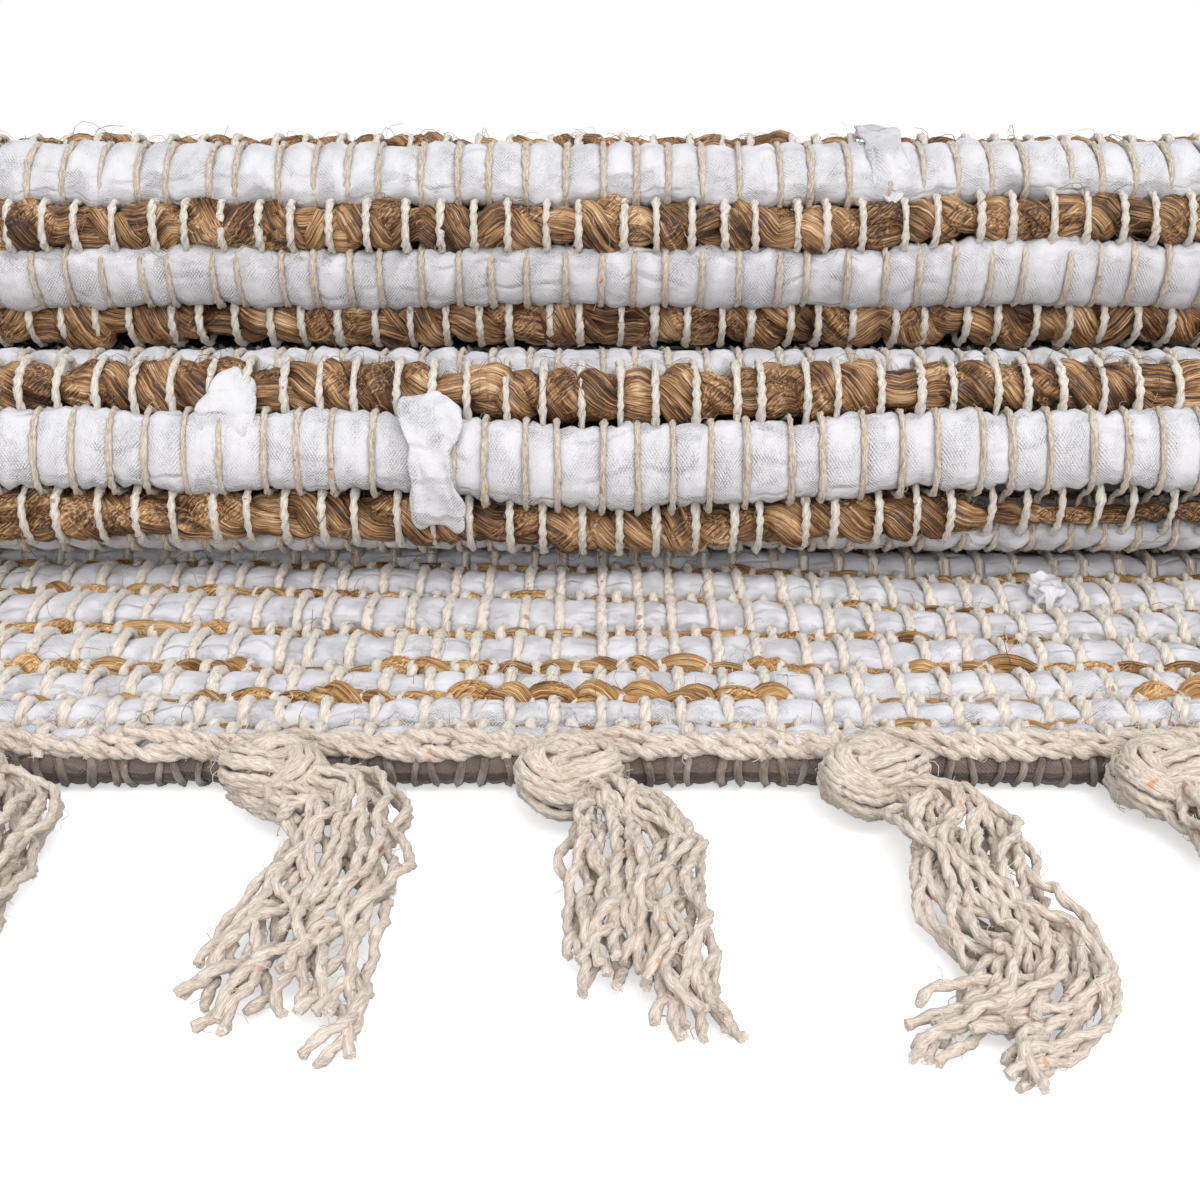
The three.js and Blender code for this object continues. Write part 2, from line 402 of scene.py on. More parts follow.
@dataclass(frozen=True)
class Paper:
    """The plain pale sheet that the rug lies on. It looks whiter than the light that it throws back."""

    seen: Colour = (0.9, 0.9, 0.905)
    thrown: Colour = (0.42, 0.41, 0.41)
    glow: float = 0.48

    def material(self) -> Surface:
        """Returns the material, with a faint tooth."""
        m = Material("paper")
        direct = m.add("ShaderNodeLightPath").outputs["Is Camera Ray"]
        m.shader.inputs["Emission Color"].default_value = (1, 1, 1, 1)
        m.feed(m.shader.inputs["Emission Strength"], m.times(direct, self.glow))
        tooth = m.noise(m.add("ShaderNodeTexCoord").outputs["Object"], 400.0)
        return m.finish(m.mix(direct, self.thrown, self.seen), 0.9, m.bump(tooth, 0.05 * MM, 0.2))


class Finishes:
    """The rug's materials, each made once."""

    def __init__(self) -> None:
        """Makes them all."""
        self.rag = RagCotton().material()
        self.jute = JuteFibre().material()
        # Painted light: a lighter, more golden copy of the jute for the flat front layer, which faces the top
        # light.
        self.golden = JuteFibre(
            "jute_painted_light", (0.08, 0.032, 0.010), (0.26, 0.12, 0.038), (0.50, 0.265, 0.095),
            (0.70, 0.42, 0.18), (0.92, 0.70, 0.42),
        ).material()
        self.cream = WarpCotton().material()
        self.pale = WarpCotton("warp_cotton_pale", (0.80, 0.755, 0.69), (0.52, 0.46, 0.395)).material()
        self.fluffy = WarpCotton("warp_cotton_fluffy", (0.83, 0.765, 0.69), (0.62, 0.54, 0.46)).material()
        self.ecru = WarpCotton("warp_cotton_ecru", (0.76, 0.665, 0.575), (0.50, 0.405, 0.33)).material()
        # Painted shade: a dark brown copy of the warp cotton for the edge wraps, which lie in shade under the
        # cords.
        self.painted_shade_warp = WarpCotton("warp_cotton_painted_shade", (0.25, 0.195, 0.155), (0.11, 0.08, 0.06)).material()
        # Painted shade: the white rag made dark brown for the last pick under the cords, which lies in shade.
        self.painted_shade_rag = RagCotton("rag_cotton_painted_shade", (0.18, 0.13, 0.107), (0.115, 0.085, 0.07)).material()


# -------------------------------------------------------------- geometry nodes


class GrowingTree(Graph):
    """A Geometry Nodes tree with named inputs, which turns lines or a skin into a piece's mesh."""

    def __init__(self, name: str, sizes: dict[str, str]) -> None:
        """Makes the tree and its sockets.

        Args:
            name: The tree's name.
            sizes: Input name to socket type.
        """
        tree = bpy.data.node_groups.new(name, "GeometryNodeTree")
        super().__init__(tree)
        geometry = "NodeSocketGeometry"
        tree.interface.new_socket("Geometry", in_out="INPUT", socket_type=geometry)
        for label, kind in {**sizes, "Material": "NodeSocketMaterial"}.items():
            tree.interface.new_socket(label, in_out="INPUT", socket_type=kind)
        tree.interface.new_socket("Geometry", in_out="OUTPUT", socket_type=geometry)
        self.given = self.add("NodeGroupInput").outputs

    def close(self, geometry: Socket) -> None:
        """Ends the tree in Realize Instances and Set Material."""
        realized = self.add("GeometryNodeRealizeInstances", {0: geometry}).outputs[0]
        feeds = {"Geometry": realized, "Material": self.given["Material"]}
        dressed = self.add("GeometryNodeSetMaterial", feeds).outputs[0]
        self.feed(self.add("NodeGroupOutput").inputs[0], dressed)

    def grow(self, source: Piece, name: str, **values: object) -> Piece:
        """Runs the tree on an object and returns the result as a new plain mesh object.

        Args:
            source: What the tree starts from. It is used up.
            name: The new piece's name.
            values: Input name, with _ for a space, to value.

        Returns:
            The piece.
        """
        modifier = source.modifiers.new("grow", "NODES")
        modifier.node_group = self.tree
        sockets = {
            item.name: item.identifier
            for item in self.tree.interface.items_tree
            if item.item_type == "SOCKET" and item.in_out == "INPUT"
        }
        for key, value in values.items():
            modifier[sockets[key.replace("_", " ")]] = value
        grown = source.evaluated_get(bpy.context.evaluated_depsgraph_get())
        mesh = bpy.data.meshes.new_from_object(grown)
        source.modifiers.remove(modifier)
        return put(name, mesh)


class PlyTree(GrowingTree):
    """Turns centre lines into yarns of several plies twisted round each other."""

    PLY_GAP = 331.0
    LOT_GAP = 977.0

    def __init__(self) -> None:
        """Builds the tree.

        It reads three point attributes of the lines: thick, a factor on the yarn's size, turn, its added
        twist in turns, and lot, a number that sets its fibres apart. It writes fibre, the mm along and
        across each ply.
        """
        real = "NodeSocketFloat"
        whole = "NodeSocketInt"
        sizes = {"Plies": whole, "Sides": whole, "Ply Radius": real, "Ply Offset": real, "Lay": real}
        super().__init__("ply_yarn", sizes)
        given = self.given
        lines = self.add("GeometryNodeMeshToCurve", {"Mesh": given["Geometry"]}).outputs[0]
        feeds = {"Geometry": lines, "Amount": given["Plies"]}
        copies = self.add("GeometryNodeDuplicateElements", feeds, domain="SPLINE").outputs
        length = self.add("GeometryNodeSplineParameter").outputs["Length"]
        share = self.math("DIVIDE", copies[1], given["Plies"])
        turns = self.plus(self.math("DIVIDE", length, given["Lay"]), share)
        turns = self.plus(turns, self.read("turn"))
        angle = self.times(turns, 2 * math.pi)
        normal = self.add("GeometryNodeInputNormal").outputs[0]
        tangent = self.add("GeometryNodeInputTangent").outputs[0]
        side = self.vector("CROSS_PRODUCT", tangent, normal)
        thick = self.read("thick")
        reach = self.times(given["Ply Offset"], thick)
        out = self.vector("SCALE", normal, self.times(self.math("COSINE", angle), reach))
        over = self.vector("SCALE", side, self.times(self.math("SINE", angle), reach))
        feeds = {"Geometry": copies[0], "Offset": self.vector("ADD", out, over)}
        moved = self.add("GeometryNodeSetPosition", feeds).outputs[0]
        shift = self.add("GeometryNodeSplineParameter").outputs["Length"]
        shift = self.times(shift, 1000.0)
        apart = self.plus(shift, self.times(copies[1], self.PLY_GAP))
        apart = self.plus(apart, self.times(self.read("lot"), self.LOT_GAP))
        moved = self.write(moved, "along", apart)
        feeds = {"Resolution": given["Sides"], "Radius": given["Ply Radius"]}
        profile = self.add("GeometryNodeCurvePrimitiveCircle", feeds).outputs[0]
        around = self.add("GeometryNodeSplineParameter").outputs["Factor"]
        around = self.times(around, 2 * math.pi)
        size = self.times(given["Ply Radius"], 1000.0)
        for name, wave in (("rim_a", "COSINE"), ("rim_b", "SINE")):
            profile = self.write(profile, name, self.times(self.math(wave, around), size))
        feeds = {"Curve": moved, "Profile Curve": profile, "Scale": thick, "Fill Caps": True}
        skin = self.add("GeometryNodeCurveToMesh", feeds).outputs[0]
        feeds = {0: self.read("along"), 1: self.read("rim_a"), 2: self.read("rim_b")}
        fibre = self.add("ShaderNodeCombineXYZ", feeds).outputs[0]
        mesh = self.write(skin, "fibre", fibre, "FLOAT_VECTOR")
        for name in ("along", "rim_a", "rim_b", "thick", "turn", "lot"):
            mesh = self.add("GeometryNodeRemoveAttribute", {0: mesh, "Name": name}).outputs[0]
        mesh = self.add("GeometryNodeSetShadeSmooth", {0: mesh}).outputs[0]
        self.close(mesh)

    def read(self, name: str) -> Socket:
        """Returns a number attribute by name."""
        return self.add("GeometryNodeInputNamedAttribute", {"Name": name}, data_type="FLOAT").outputs[0]

    def write(self, geometry: object, name: str, value: object, kind: str = "FLOAT") -> Socket:
        """Stores a point attribute and returns the geometry that has it."""
        feeds = {"Geometry": geometry, "Name": name, "Value": value}
        node = self.add("GeometryNodeStoreNamedAttribute", feeds, data_type=kind, domain="POINT")
        return node.outputs[0]


class HairTree(GrowingTree):
    """Grows stray fibres out of a skin."""

    def __init__(self) -> None:
        """Builds the tree."""
        real = "NodeSocketFloat"
        sizes = {
            "Density": real, "Length": real, "Radius": real, "Lie": real, "Steps": "NodeSocketInt",
            "Left": real, "Right": real, "Seed": "NodeSocketInt",
        }
        super().__init__("stray_fibres", sizes)
        given = self.given
        position = self.add("GeometryNodeInputPosition").outputs[0]
        place = self.add("ShaderNodeSeparateXYZ", {0: position}).outputs
        facing = self.add("ShaderNodeVectorMath", operation="DOT_PRODUCT")
        self.feed(facing.inputs[0], self.add("GeometryNodeInputNormal").outputs[0])
        self.feed(facing.inputs[1], (0.0, -0.7, 0.7))
        inside = self.math("GREATER_THAN", place[0], given["Left"])
        inside = self.times(inside, self.math("LESS_THAN", place[0], given["Right"]))
        inside = self.times(inside, self.math("GREATER_THAN", facing.outputs["Value"], -0.35))
        count = self.times(given["Density"], inside)
        feeds = {"Mesh": given["Geometry"], "Density": count, "Seed": given["Seed"]}
        roots = self.add("GeometryNodeDistributePointsOnFaces", feeds).outputs
        bow = self.add(
            "GeometryNodeCurveQuadraticBezier",
            {
                "Resolution": given["Steps"], "Start": (0, 0, -0.05), "Middle": (0.15, 0.12, 0.75),
                "End": (0.9, -0.1, 0.25),
            },
        ).outputs[0]
        rim = self.add("GeometryNodeCurvePrimitiveCircle", {"Resolution": 3, "Radius": 1.0}).outputs[0]
        size = self.math("DIVIDE", given["Radius"], given["Length"])
        feeds = {"Curve": bow, "Profile Curve": rim, "Scale": size, "Fill Caps": True}
        fibre = self.add("GeometryNodeCurveToMesh", feeds).outputs[0]
        spin = self.random(0.0, 2 * math.pi, 11)
        lean = self.times(self.random(0.3, 1.0, 12), given["Lie"])
        turned = self.add("FunctionNodeAxisAngleToRotation", {"Axis": (0, 0, 1), "Angle": spin}).outputs[0]
        leant = self.add("FunctionNodeAxisAngleToRotation", {"Axis": (0, 1, 0), "Angle": lean}).outputs[0]
        pose = self.rotated(self.rotated(roots["Rotation"], turned), leant)
        grown = self.times(self.random(0.35, 1.25, 13), given["Length"])
        feeds = {"Points": roots["Points"], "Instance": fibre, "Rotation": pose, "Scale": grown}
        self.close(self.add("GeometryNodeInstanceOnPoints", feeds).outputs[0])

    def random(self, low: float, high: float, seed: int) -> Socket:
        """Returns a random number with a fixed seed."""
        node = self.add("FunctionNodeRandomValue", data_type="FLOAT")
        node.inputs[2].default_value = low
        node.inputs[3].default_value = high
        node.inputs["Seed"].default_value = seed
        return node.outputs[1]

    def rotated(self, first: object, then: object) -> Socket:
        """Returns one rotation turned by another in its own space."""
        node = self.add("FunctionNodeRotateRotation", rotation_space="LOCAL")
        self.feed(node.inputs[0], first)
        self.feed(node.inputs[1], then)
        return node.outputs[0]


# -------------------------------------------------------------------- the fold


@dataclass(frozen=True)
class Fold:
    """One fold: its centre along Y, the height at which the cloth enters it, and its radius, in mm."""

    y: float
    low: float
    radius: float


@dataclass
class FoldLine:
    """The middle line of the folded cloth, seen from the side, in mm."""

    cloth: float = 9.0
    edge: float = 4.4
    front_reach: float = 65.0
    top_reach: float = 22.0
    panel: float = 332.6
    front_step: float = 26.5
    back_step: float = 14.0
    front_bend: float = 13.85
    back_bend: float = 8.75
    layer_pitch: float = 9.6
    settle: float = 130.0
    top_end: float = 58.5
    step: float = 0.25

    def __post_init__(self) -> None:
        """Lays the line from the front edge of the rug to its back edge."""
        self.front_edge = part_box("front_twined_edge")[0].y / MM
        self.tip = self.front_edge + self.front_reach
        lower_front = self.tip + self.front_bend + self.cloth / 2
        upper_front = lower_front + self.front_step
        lower_back = lower_front + self.panel
        upper_back = lower_back - self.back_step
        self.folds = (
            Fold(lower_back, 4.5, self.back_bend),
            Fold(lower_front, 13.9, self.front_bend),
            Fold(upper_back, 31.5, self.back_bend),
            Fold(upper_front, 50.3, self.front_bend),
        )
        self.starts: list[float] = []
        points = [np.array([[self.front_edge + self.edge, self.cloth / 2]])]
        for layer, fold in enumerate(self.folds):
            points.append(self._lay(points[-1][-1], (fold.y, fold.low), layer))
            self.starts.append(self._length(points))
            points.append(self._bend(fold, layer % 2 == 1))
        points.append(self._lay(points[-1][-1], (upper_back, self.top_end), len(self.folds)))
        points.append(np.array([[upper_back + self.top_reach, self.top_end]]))
        line = np.concatenate(points)
        keep = np.r_[True, np.linalg.norm(np.diff(line, axis=0), axis=1) > 1e-6]
        line = line[keep]
        lengths = np.r_[0, np.cumsum(np.linalg.norm(np.diff(line, axis=0), axis=1))]
        self.length = float(lengths[-1])
        self.s = np.arange(0, self.length, self.step)
        self.y = np.interp(self.s, lengths, line[:, 0])
        self.z = np.interp(self.s, lengths, line[:, 1])
        ty, tz = np.gradient(self.y), np.gradient(self.z)
        size = np.hypot(ty, tz)
        self.ty, self.tz = ty / size, tz / size

    def _lay(self, start: Sequence[float], end: Sequence[float], layer: int) -> Array:
        """Returns points along a layer, which sinks from both its ends to its own height."""
        way = math.copysign(1.0, end[0] - start[0])
        height = self.cloth / 2 + layer * self.layer_pitch
        wave = (1 - np.cos(np.pi * np.linspace(0, 1, 260))) / 2
        run = np.linspace(0, self.settle, 260) * way
        down = np.c_[start[0] + run, start[1] + (height - start[1]) * wave]
        up = np.c_[end[0] - way * self.settle + run, height + (end[1] - height) * wave]
        return np.concatenate([down, up])

    def _bend(self, fold: Fold, front: bool) -> Array:
        """Returns points round a fold, from its bottom to its top."""
        angle = np.linspace(-np.pi / 2, np.pi / 2, 120)
        out = -np.cos(angle) if front else np.cos(angle)
        return np.c_[fold.y + fold.radius * out, fold.low + fold.radius * (1 + np.sin(angle))]

    @staticmethod
    def _length(points: list[Array]) -> float:
        """Returns the length of the line laid so far."""
        line = np.concatenate(points)
        return float(np.linalg.norm(np.diff(line, axis=0), axis=1).sum())

    def place(self, s: Array, off: Array) -> tuple[Array, Array]:
        """Finds points of the cloth.

        Args:
            s: Distances along the line, in mm, also a little beyond its ends.
            off: Heights off the line towards the face.

        Returns:
            Their Y and Z, in mm.
        """
        ty = np.interp(s, self.s, self.ty)
        tz = np.interp(s, self.s, self.tz)
        past = s - np.clip(s, 0, self.length)
        y = np.interp(s, self.s, self.y) + past * ty
        z = np.interp(s, self.s, self.z) + past * tz
        return y - tz * off, z + ty * off


# ------------------------------------------------------------------- the weave


@dataclass(frozen=True)
class Swerve:
    """A stretch of the width where the rows swerve along the cloth, in mm.

    rows pairs places along the cloth with how far they move there. The stretch is a hump about the
    centre, or with step set everything past the centre, leftwards if the spread is negative.
    """

    rows: tuple[tuple[float, float], ...]
    centre: float
    spread: float
    step: bool = False

    def shift(self, s: Array, x: Array) -> Array:
        """Returns how far the cloth moves at places along and across it."""
        places, amounts = zip(*self.rows)
        if self.step:
            reach = smooth_step(self.centre - self.spread, self.centre + self.spread, x)
        else:
            reach = np.exp(-(((x - self.centre) / self.spread) ** 2))
        return np.interp(s, places, amounts) * reach


@dataclass
class Pick:
    """One pick of weft: where it lies along the cloth and how big it is there, in mm."""

    index: int
    kind: Kind
    s: float
    wide: float
    deep: float
    off: float = 0.0
    detail: Detail = Detail.HIDDEN
    layer: int = 0
    fade: tuple[float, float] | None = None
    peeks: tuple[tuple[float, float, float], ...] = ()
    humped: bool = False

    def fullness(self, x: Array) -> Array:
        """Returns the share of its size that the pick keeps at places across the rug."""
        if self.fade is None:
            return np.ones_like(x)
        return 1 - 0.6 * smooth_step(*self.fade, x)

    def over(self, warp: int | Array) -> bool | Array:
        """True if that warp yarn, or each of several, crosses this pick on the rug's face."""
        return (warp % 2 == 0) == (self.kind is Kind.RAG)


@dataclass
class Weave:
    """The plan of the cloth: every pick and every place where a warp yarn crosses one."""

    line: FoldLine
    pitch: float = 3.25
    bunch: int = 13
    bunches: int = 18
    pick_pitch: float = 7.8
    rag_share: float = 0.565
    warp_radius: float = 0.74
    hug: float = 2.5
    rag_deep: float = 3.8
    jute_plump: float = 1.04
    last_pick: float = 3.2
    view_x: tuple[float, float] = (-96.0, 146.0)
    flat_until: float = 90.0
    close_until: float = 82.0
    seen_until: float = 100.0
    picks: list[Pick] = field(default_factory=list)

    def __post_init__(self) -> None:
        """Lays the picks, then the warp yarns across them."""
        self.warps = self.bunch * self.bunches
        self.width = self.warps * self.pitch
        self.layers = len(self.line.folds) + 1
        self.half_turn = math.pi * self.line.front_bend
        self.lower, self.upper = self.line.starts[1], self.line.starts[3]
        self.swerves = self._swerve()
        self._lay_picks()
        self._lay_warps()

    def on_fold(self, start: float, degrees: float) -> float:
        """Returns the place along the cloth at an angle above the horizontal on a front fold."""
        return start + (degrees + 90) / 180 * self.half_turn

    def _swerve(self) -> tuple[Swerve, ...]:
        """Says where the rows were beaten up unevenly."""
        low, up = self.lower, self.upper
        dip = (
            (low - 25, 0.0), (self.on_fold(low, -58), -4.6), (self.on_fold(low, -26), -4.4),
            (self.on_fold(low, 20), -2.7), (self.on_fold(low, 69), -2.3), (self.on_fold(low, 108), 0.0),
        )
        rise = (
            (self.on_fold(up, -50), 0.0), (self.on_fold(up, -20), 0.5), (self.on_fold(up, 18), 1.7),
            (self.on_fold(up, 55), 0.8), (self.on_fold(up, 95), 0.0),
        )
        front = (
            (24.0, 0.0), (30.0, -0.8), (37.0, -1.6), (46.0, -4.4), (54.8, -6.2), (63.2, -7.6), (71.0, -7.4),
            (110.0, 0.0),
        )
        return (
            Swerve(dip, 30.0, 33.0),
            Swerve(rise, 84.0, 10.0, True),
            Swerve(front, 62.0, 34.0, True),
            Swerve(tuple((s, -0.45 * shift) for s, shift in front), -22.0, -30.0, True),
        )

    def place(self, x: Array, s: Array, off: Array) -> Array:
        """Finds points of the cloth as it was really beaten up.

        Args:
            x: Places across the rug, in mm.
            s: Places along the cloth.
            off: Heights off its middle towards the face.

        Returns:
            The points, in mm.
        """
        moved = s + sum(swerve.shift(s, x) for swerve in self.swerves)
        y, z = self.line.place(moved, off)
        return np.stack([np.broadcast_to(x, y.shape), y, z], axis=-1)

    def _lay_picks(self) -> None:
        """Places rag and jute by turns, closest to plan on the two front folds."""
        line = self.line
        front = (2.4, 7.4, 11.7, 17.0, 22.0, 29.8, 37.0, 46.0, 54.8, 63.2, 71.0)
        kinds = (Kind.RAG, Kind.JUTE)
        fixed = [(s, kinds[k % 2]) for k, s in enumerate(front)]
        lower_row = ((-64, Kind.RAG), (-30, Kind.JUTE), (20, Kind.RAG), (69, Kind.JUTE), (108, Kind.RAG))
        upper_row = ((-64, Kind.JUTE), (-23, Kind.RAG), (15, Kind.JUTE), (59, Kind.RAG), (103, Kind.JUTE))
        for start, row in ((self.lower, lower_row), (self.upper, upper_row)):
            self._fill(fixed, self.on_fold(start, row[0][0]), row[0][1])
            fixed += [(self.on_fold(start, degrees), kind) for degrees, kind in row[1:]]
        self._fill(fixed, line.length - self.last_pick, Kind.RAG)
        gaps = np.gradient(np.array([s for s, _ in fixed]))
        for k, (s, kind) in enumerate(fixed):
            layer = sum(s > start + math.pi * fold.radius / 2 for start, fold in zip(line.starts, line.folds))
            flat = s < self.flat_until
            if flat:
                wide, deep, off = (gaps[k] * 0.66, 3.35, 0.1) if kind is Kind.RAG else (2.1, 2.1, -0.3)
            elif kind is Kind.RAG:
                wide, deep, off = gaps[k] * self.rag_share, self.rag_deep, 0.0
            else:
                wide = gaps[k] * (1 - self.rag_share) * self.jute_plump
                deep, off = wide, 0.0
            detail = self._detail(s, layer)
            self.picks.append(Pick(k, kind, s, wide, deep, off, detail, layer, humped=flat))
        self._shape_front_rows()

    def _fill(self, fixed: list[tuple[float, Kind]], s: float, kind: Kind) -> None:
        """Adds evenly spaced picks after the last one, up to and with one of that kind at s."""
        last, last_kind = fixed[-1]
        even = kind is last_kind
        steps = max(1, round((s - last) / self.pick_pitch))
        if (steps % 2 == 0) != even:
            steps += 1 if (s - last) / self.pick_pitch > steps else -1
        for k in range(1, steps + 1):
            turned = last_kind if k % 2 == 0 else (Kind.JUTE if last_kind is Kind.RAG else Kind.RAG)
            fixed.append((last + (s - last) * k / steps, turned))

    def _detail(self, s: float, layer: int) -> Detail:
        """Tells how closely a pick is seen."""
        line = self.line
        before, beyond, round_back = 4, 12, 6
        bends = ((start - before, start + self.half_turn + beyond) for start in (self.lower, self.upper))
        if s < self.close_until or any(low < s < high for low, high in bends):
            return Detail.CLOSE
        turn = math.pi * line.back_bend
        back = any(start - round_back < s < start + turn + round_back for start in line.starts[::2])
        seen = back or layer == self.layers - 1 or s < self.seen_until
        return Detail.PLAIN if seen else Detail.HIDDEN

    def nearest(self, s: float) -> Pick:
        """Returns the pick nearest to a place along the cloth."""
        return min(self.picks, key=lambda pick: abs(pick.s - s))

    def _shape_front_rows(self) -> None:
        """Gives the rows on the front folds and in front of them their own sizes."""
        shapes = (
            (self.lower, -64, {"deep": 3.1}),
            (self.lower, -30, {"wide": 4.6, "deep": 4.6, "off": 0.3, "fade": (84.0, 96.0)}),
            (self.lower, 20, {"wide": 6.6, "deep": 4.3, "off": 0.3}),
            (self.lower, 69, {"wide": 5.0, "deep": 5.0, "off": 1.2}),
            (self.lower, 108, {"deep": 4.4, "off": 0.9}),
            (self.upper, -64, {"wide": 5.2, "deep": 5.2, "off": 1.7}),
            (self.upper, -23, {"wide": 5.9, "deep": 4.0}),
            (self.upper, 59, {"wide": 7.2, "deep": 4.5, "off": 0.75}),
            (self.upper, 103, {"wide": 4.1, "deep": 4.1, "off": 0.9}),
        )
        for start, degrees, sizes in shapes:
            pick = self.nearest(self.on_fold(start, degrees))
            for name, size in sizes.items():
                setattr(pick, name, size)
        rows = (
            (7.4, ((-48, -38, 0.3), (66, 76, 0.5), (86, 96, 0.5))),
            (17.0, ((-66, -44, 0.35), (-35, 54, 1.25), (103, 119, 1.3), (76, 98, 0.3))),
            (29.8, ((-90, -30, 0.8), (-14, 62, 0.85), (70, 92, 1.1), (92, 130, 0.6))),
            (46.0, ((-90, -36, 0.75), (-6, 20, 0.2), (40, 100, 0.4))),
            (63.2, ((-90, -20, 0.6), (7, 17, 1.3), (60, 90, 0.3))),
        )
        for s, peeks in rows:
            self.nearest(s).peeks = peeks

    def _lay_warps(self) -> None:
        """Places each warp yarn at each pick, irregular but in order."""
        count = len(self.picks)
        base = (np.arange(self.warps) - (self.warps - 1) / 2) * self.pitch
        rng = noise_rng(Draw.WARP_PLACES)
        shared = rng.normal(0, 0.34, self.warps)
        loose = rng.normal(0, 0.42, (count, self.warps))
        walk = np.zeros((count, self.warps))
        memory, news, most = 0.82, 0.55, 1.25
        for k in range(1, count):
            walk[k] = memory * walk[k - 1] + news * loose[k]
        self.at = base[None, :] + np.clip(shared[None, :] + walk, -most, most)

    def crossings(self, pick: Pick, over: bool) -> Array:
        """Returns where the warp yarns that cross over, or under, a pick stand on it, in mm."""
        chosen = pick.over(np.arange(self.warps)) == over
        return np.sort(self.at[pick.index][chosen])

    def pinch(self, pick: Pick, x: Array, over: bool, reach: float) -> Array:
        """Measures how near the warp yarns are to places along a pick.

        Args:
            pick: The pick.
            x: The places, in mm.
            over: Whether to look at the yarns on the face or those on the back.
            reach: How far a yarn's pull goes, in mm.

        Returns:
            1 at a yarn, down to 0 away from them.
        """
        _, gap = beside(self.crossings(pick, over), x)
        return np.exp(-((gap / reach) ** 2))

    def hump(self, pick: Pick, x: Array) -> Array:
        """Measures how far a flat-lying pick swells up between the yarns that cross it, 0 to about 1."""
        yarns = self.crossings(pick, True)
        right, _ = beside(yarns, x)
        share = (x - yarns[right - 1]) / (yarns[right] - yarns[right - 1])
        arch = np.sqrt(np.clip(np.sin(np.pi * np.clip(share, 0, 1)), 0, 1))
        strength = np.full(len(yarns), 0.45)
        if pick.peeks:
            strength[:] = 0.06
            middle = (yarns + np.roll(yarns, 1)) / 2
            for left, end, amount in pick.peeks:
                strength[(middle > left) & (middle < end)] = amount
        strength *= noise_rng(Draw.HUMP, pick.index).uniform(0.4, 1.0, len(yarns))
        return arch * strength[right]


# ------------------------------------------------------------------ mesh pieces


@dataclass
class Skin:
    """A mesh being gathered from closed tubes, in mm."""

    points: list[Array] = field(default_factory=list)
    faces: list[Array] = field(default_factory=list)
    cloth: list[Array] = field(default_factory=list)
    count: int = 0

    def add_tube(self, points: Array, cloth: Array) -> None:
        """Adds a closed tube.

        Args:
            points: Stations by sides by 3.
            cloth: Stations by sides by 3, the value of the cloth attribute at each point.
        """
        stations, sides, _ = points.shape
        grid = np.arange(stations * sides).reshape(stations, sides) + self.count
        turned = np.roll(grid, -1, axis=1)
        quads = np.stack([grid[:-1], turned[:-1], turned[1:], grid[1:]], axis=-1).reshape(-1, 4)
        self.points.append(points.reshape(-1, 3))
        self.cloth.append(cloth.reshape(-1, 3))
        self.faces.append(quads)
        self.count += stations * sides
        for ring, flip in ((0, False), (stations - 1, True)):
            self.points.append(points[ring].mean(axis=0, keepdims=True))
            self.cloth.append(cloth[ring].mean(axis=0, keepdims=True))
            rim = grid[ring][::-1] if flip else grid[ring]
            centre = np.full(sides, self.count)
            self.faces.append(np.stack([centre, np.roll(rim, -1), rim], axis=-1))
            self.count += 1

    def piece(self, name: str, material: Surface) -> Piece:
        """Makes the piece, dressed and smooth.

        Args:
            name: The piece's name.
            material: Its finish.

        Returns:
            The new object.
        """
        mesh = bpy.data.meshes.new(name)
        points = np.concatenate(self.points) * MM
        corners = np.concatenate([f.ravel() for f in self.faces])
        sizes = np.concatenate([np.full(len(f), f.shape[1]) for f in self.faces])
        mesh.vertices.add(len(points))
        mesh.vertices.foreach_set("co", points.astype(np.float32).ravel())
        mesh.loops.add(len(corners))
        mesh.loops.foreach_set("vertex_index", corners.astype(np.int32))
        mesh.polygons.add(len(sizes))
        mesh.polygons.foreach_set("loop_start", np.r_[0, np.cumsum(sizes)[:-1]].astype(np.int32))
        mesh.update(calc_edges=True)
        stored = mesh.attributes.new("cloth", "FLOAT_VECTOR", "POINT")
        stored.data.foreach_set("vector", np.concatenate(self.cloth).astype(np.float32).ravel())
        mesh.shade_smooth()
        mesh.materials.append(material)
        return put(name, mesh)


@dataclass
class Lines:
    """Centre lines being gathered for the ply tree, in mm."""

    points: list[Array] = field(default_factory=list)
    thick: list[Array] = field(default_factory=list)
    turn: list[Array] = field(default_factory=list)
    edges: list[Array] = field(default_factory=list)
    count: int = 0

    def add(self, points: Array, thick: Array | float = 1.0, turn: Array | float = 0.0) -> None:
        """Adds one line with its thickness factors and its twist, in turns."""
        size = len(points)
        self.points.append(points)
        self.thick.append(np.broadcast_to(np.asarray(thick, dtype=float), (size,)))
        self.turn.append(np.broadcast_to(np.asarray(turn, dtype=float), (size,)))
        first = np.arange(size - 1) + self.count
        self.edges.append(np.c_[first, first + 1])
        self.count += size

    def source(self) -> Piece:
        """Returns the lines as an object for the tree to grow."""
        mesh = bpy.data.meshes.new("lines")
        points = np.concatenate(self.points) * MM
        edges = np.concatenate(self.edges)
        mesh.vertices.add(len(points))
        mesh.vertices.foreach_set("co", points.astype(np.float32).ravel())
        mesh.edges.add(len(edges))
        mesh.edges.foreach_set("vertices", edges.astype(np.int32).ravel())
        lots = [np.full(len(turn), turn[0]) for turn in self.turn]
        for name, values in (("thick", self.thick), ("turn", self.turn), ("lot", lots)):
            stored = mesh.attributes.new(name, "FLOAT", "POINT")
            stored.data.foreach_set("value", np.concatenate(values).astype(np.float32))
        source = put("lines", mesh)
        bpy.context.view_layer.update()
        return source


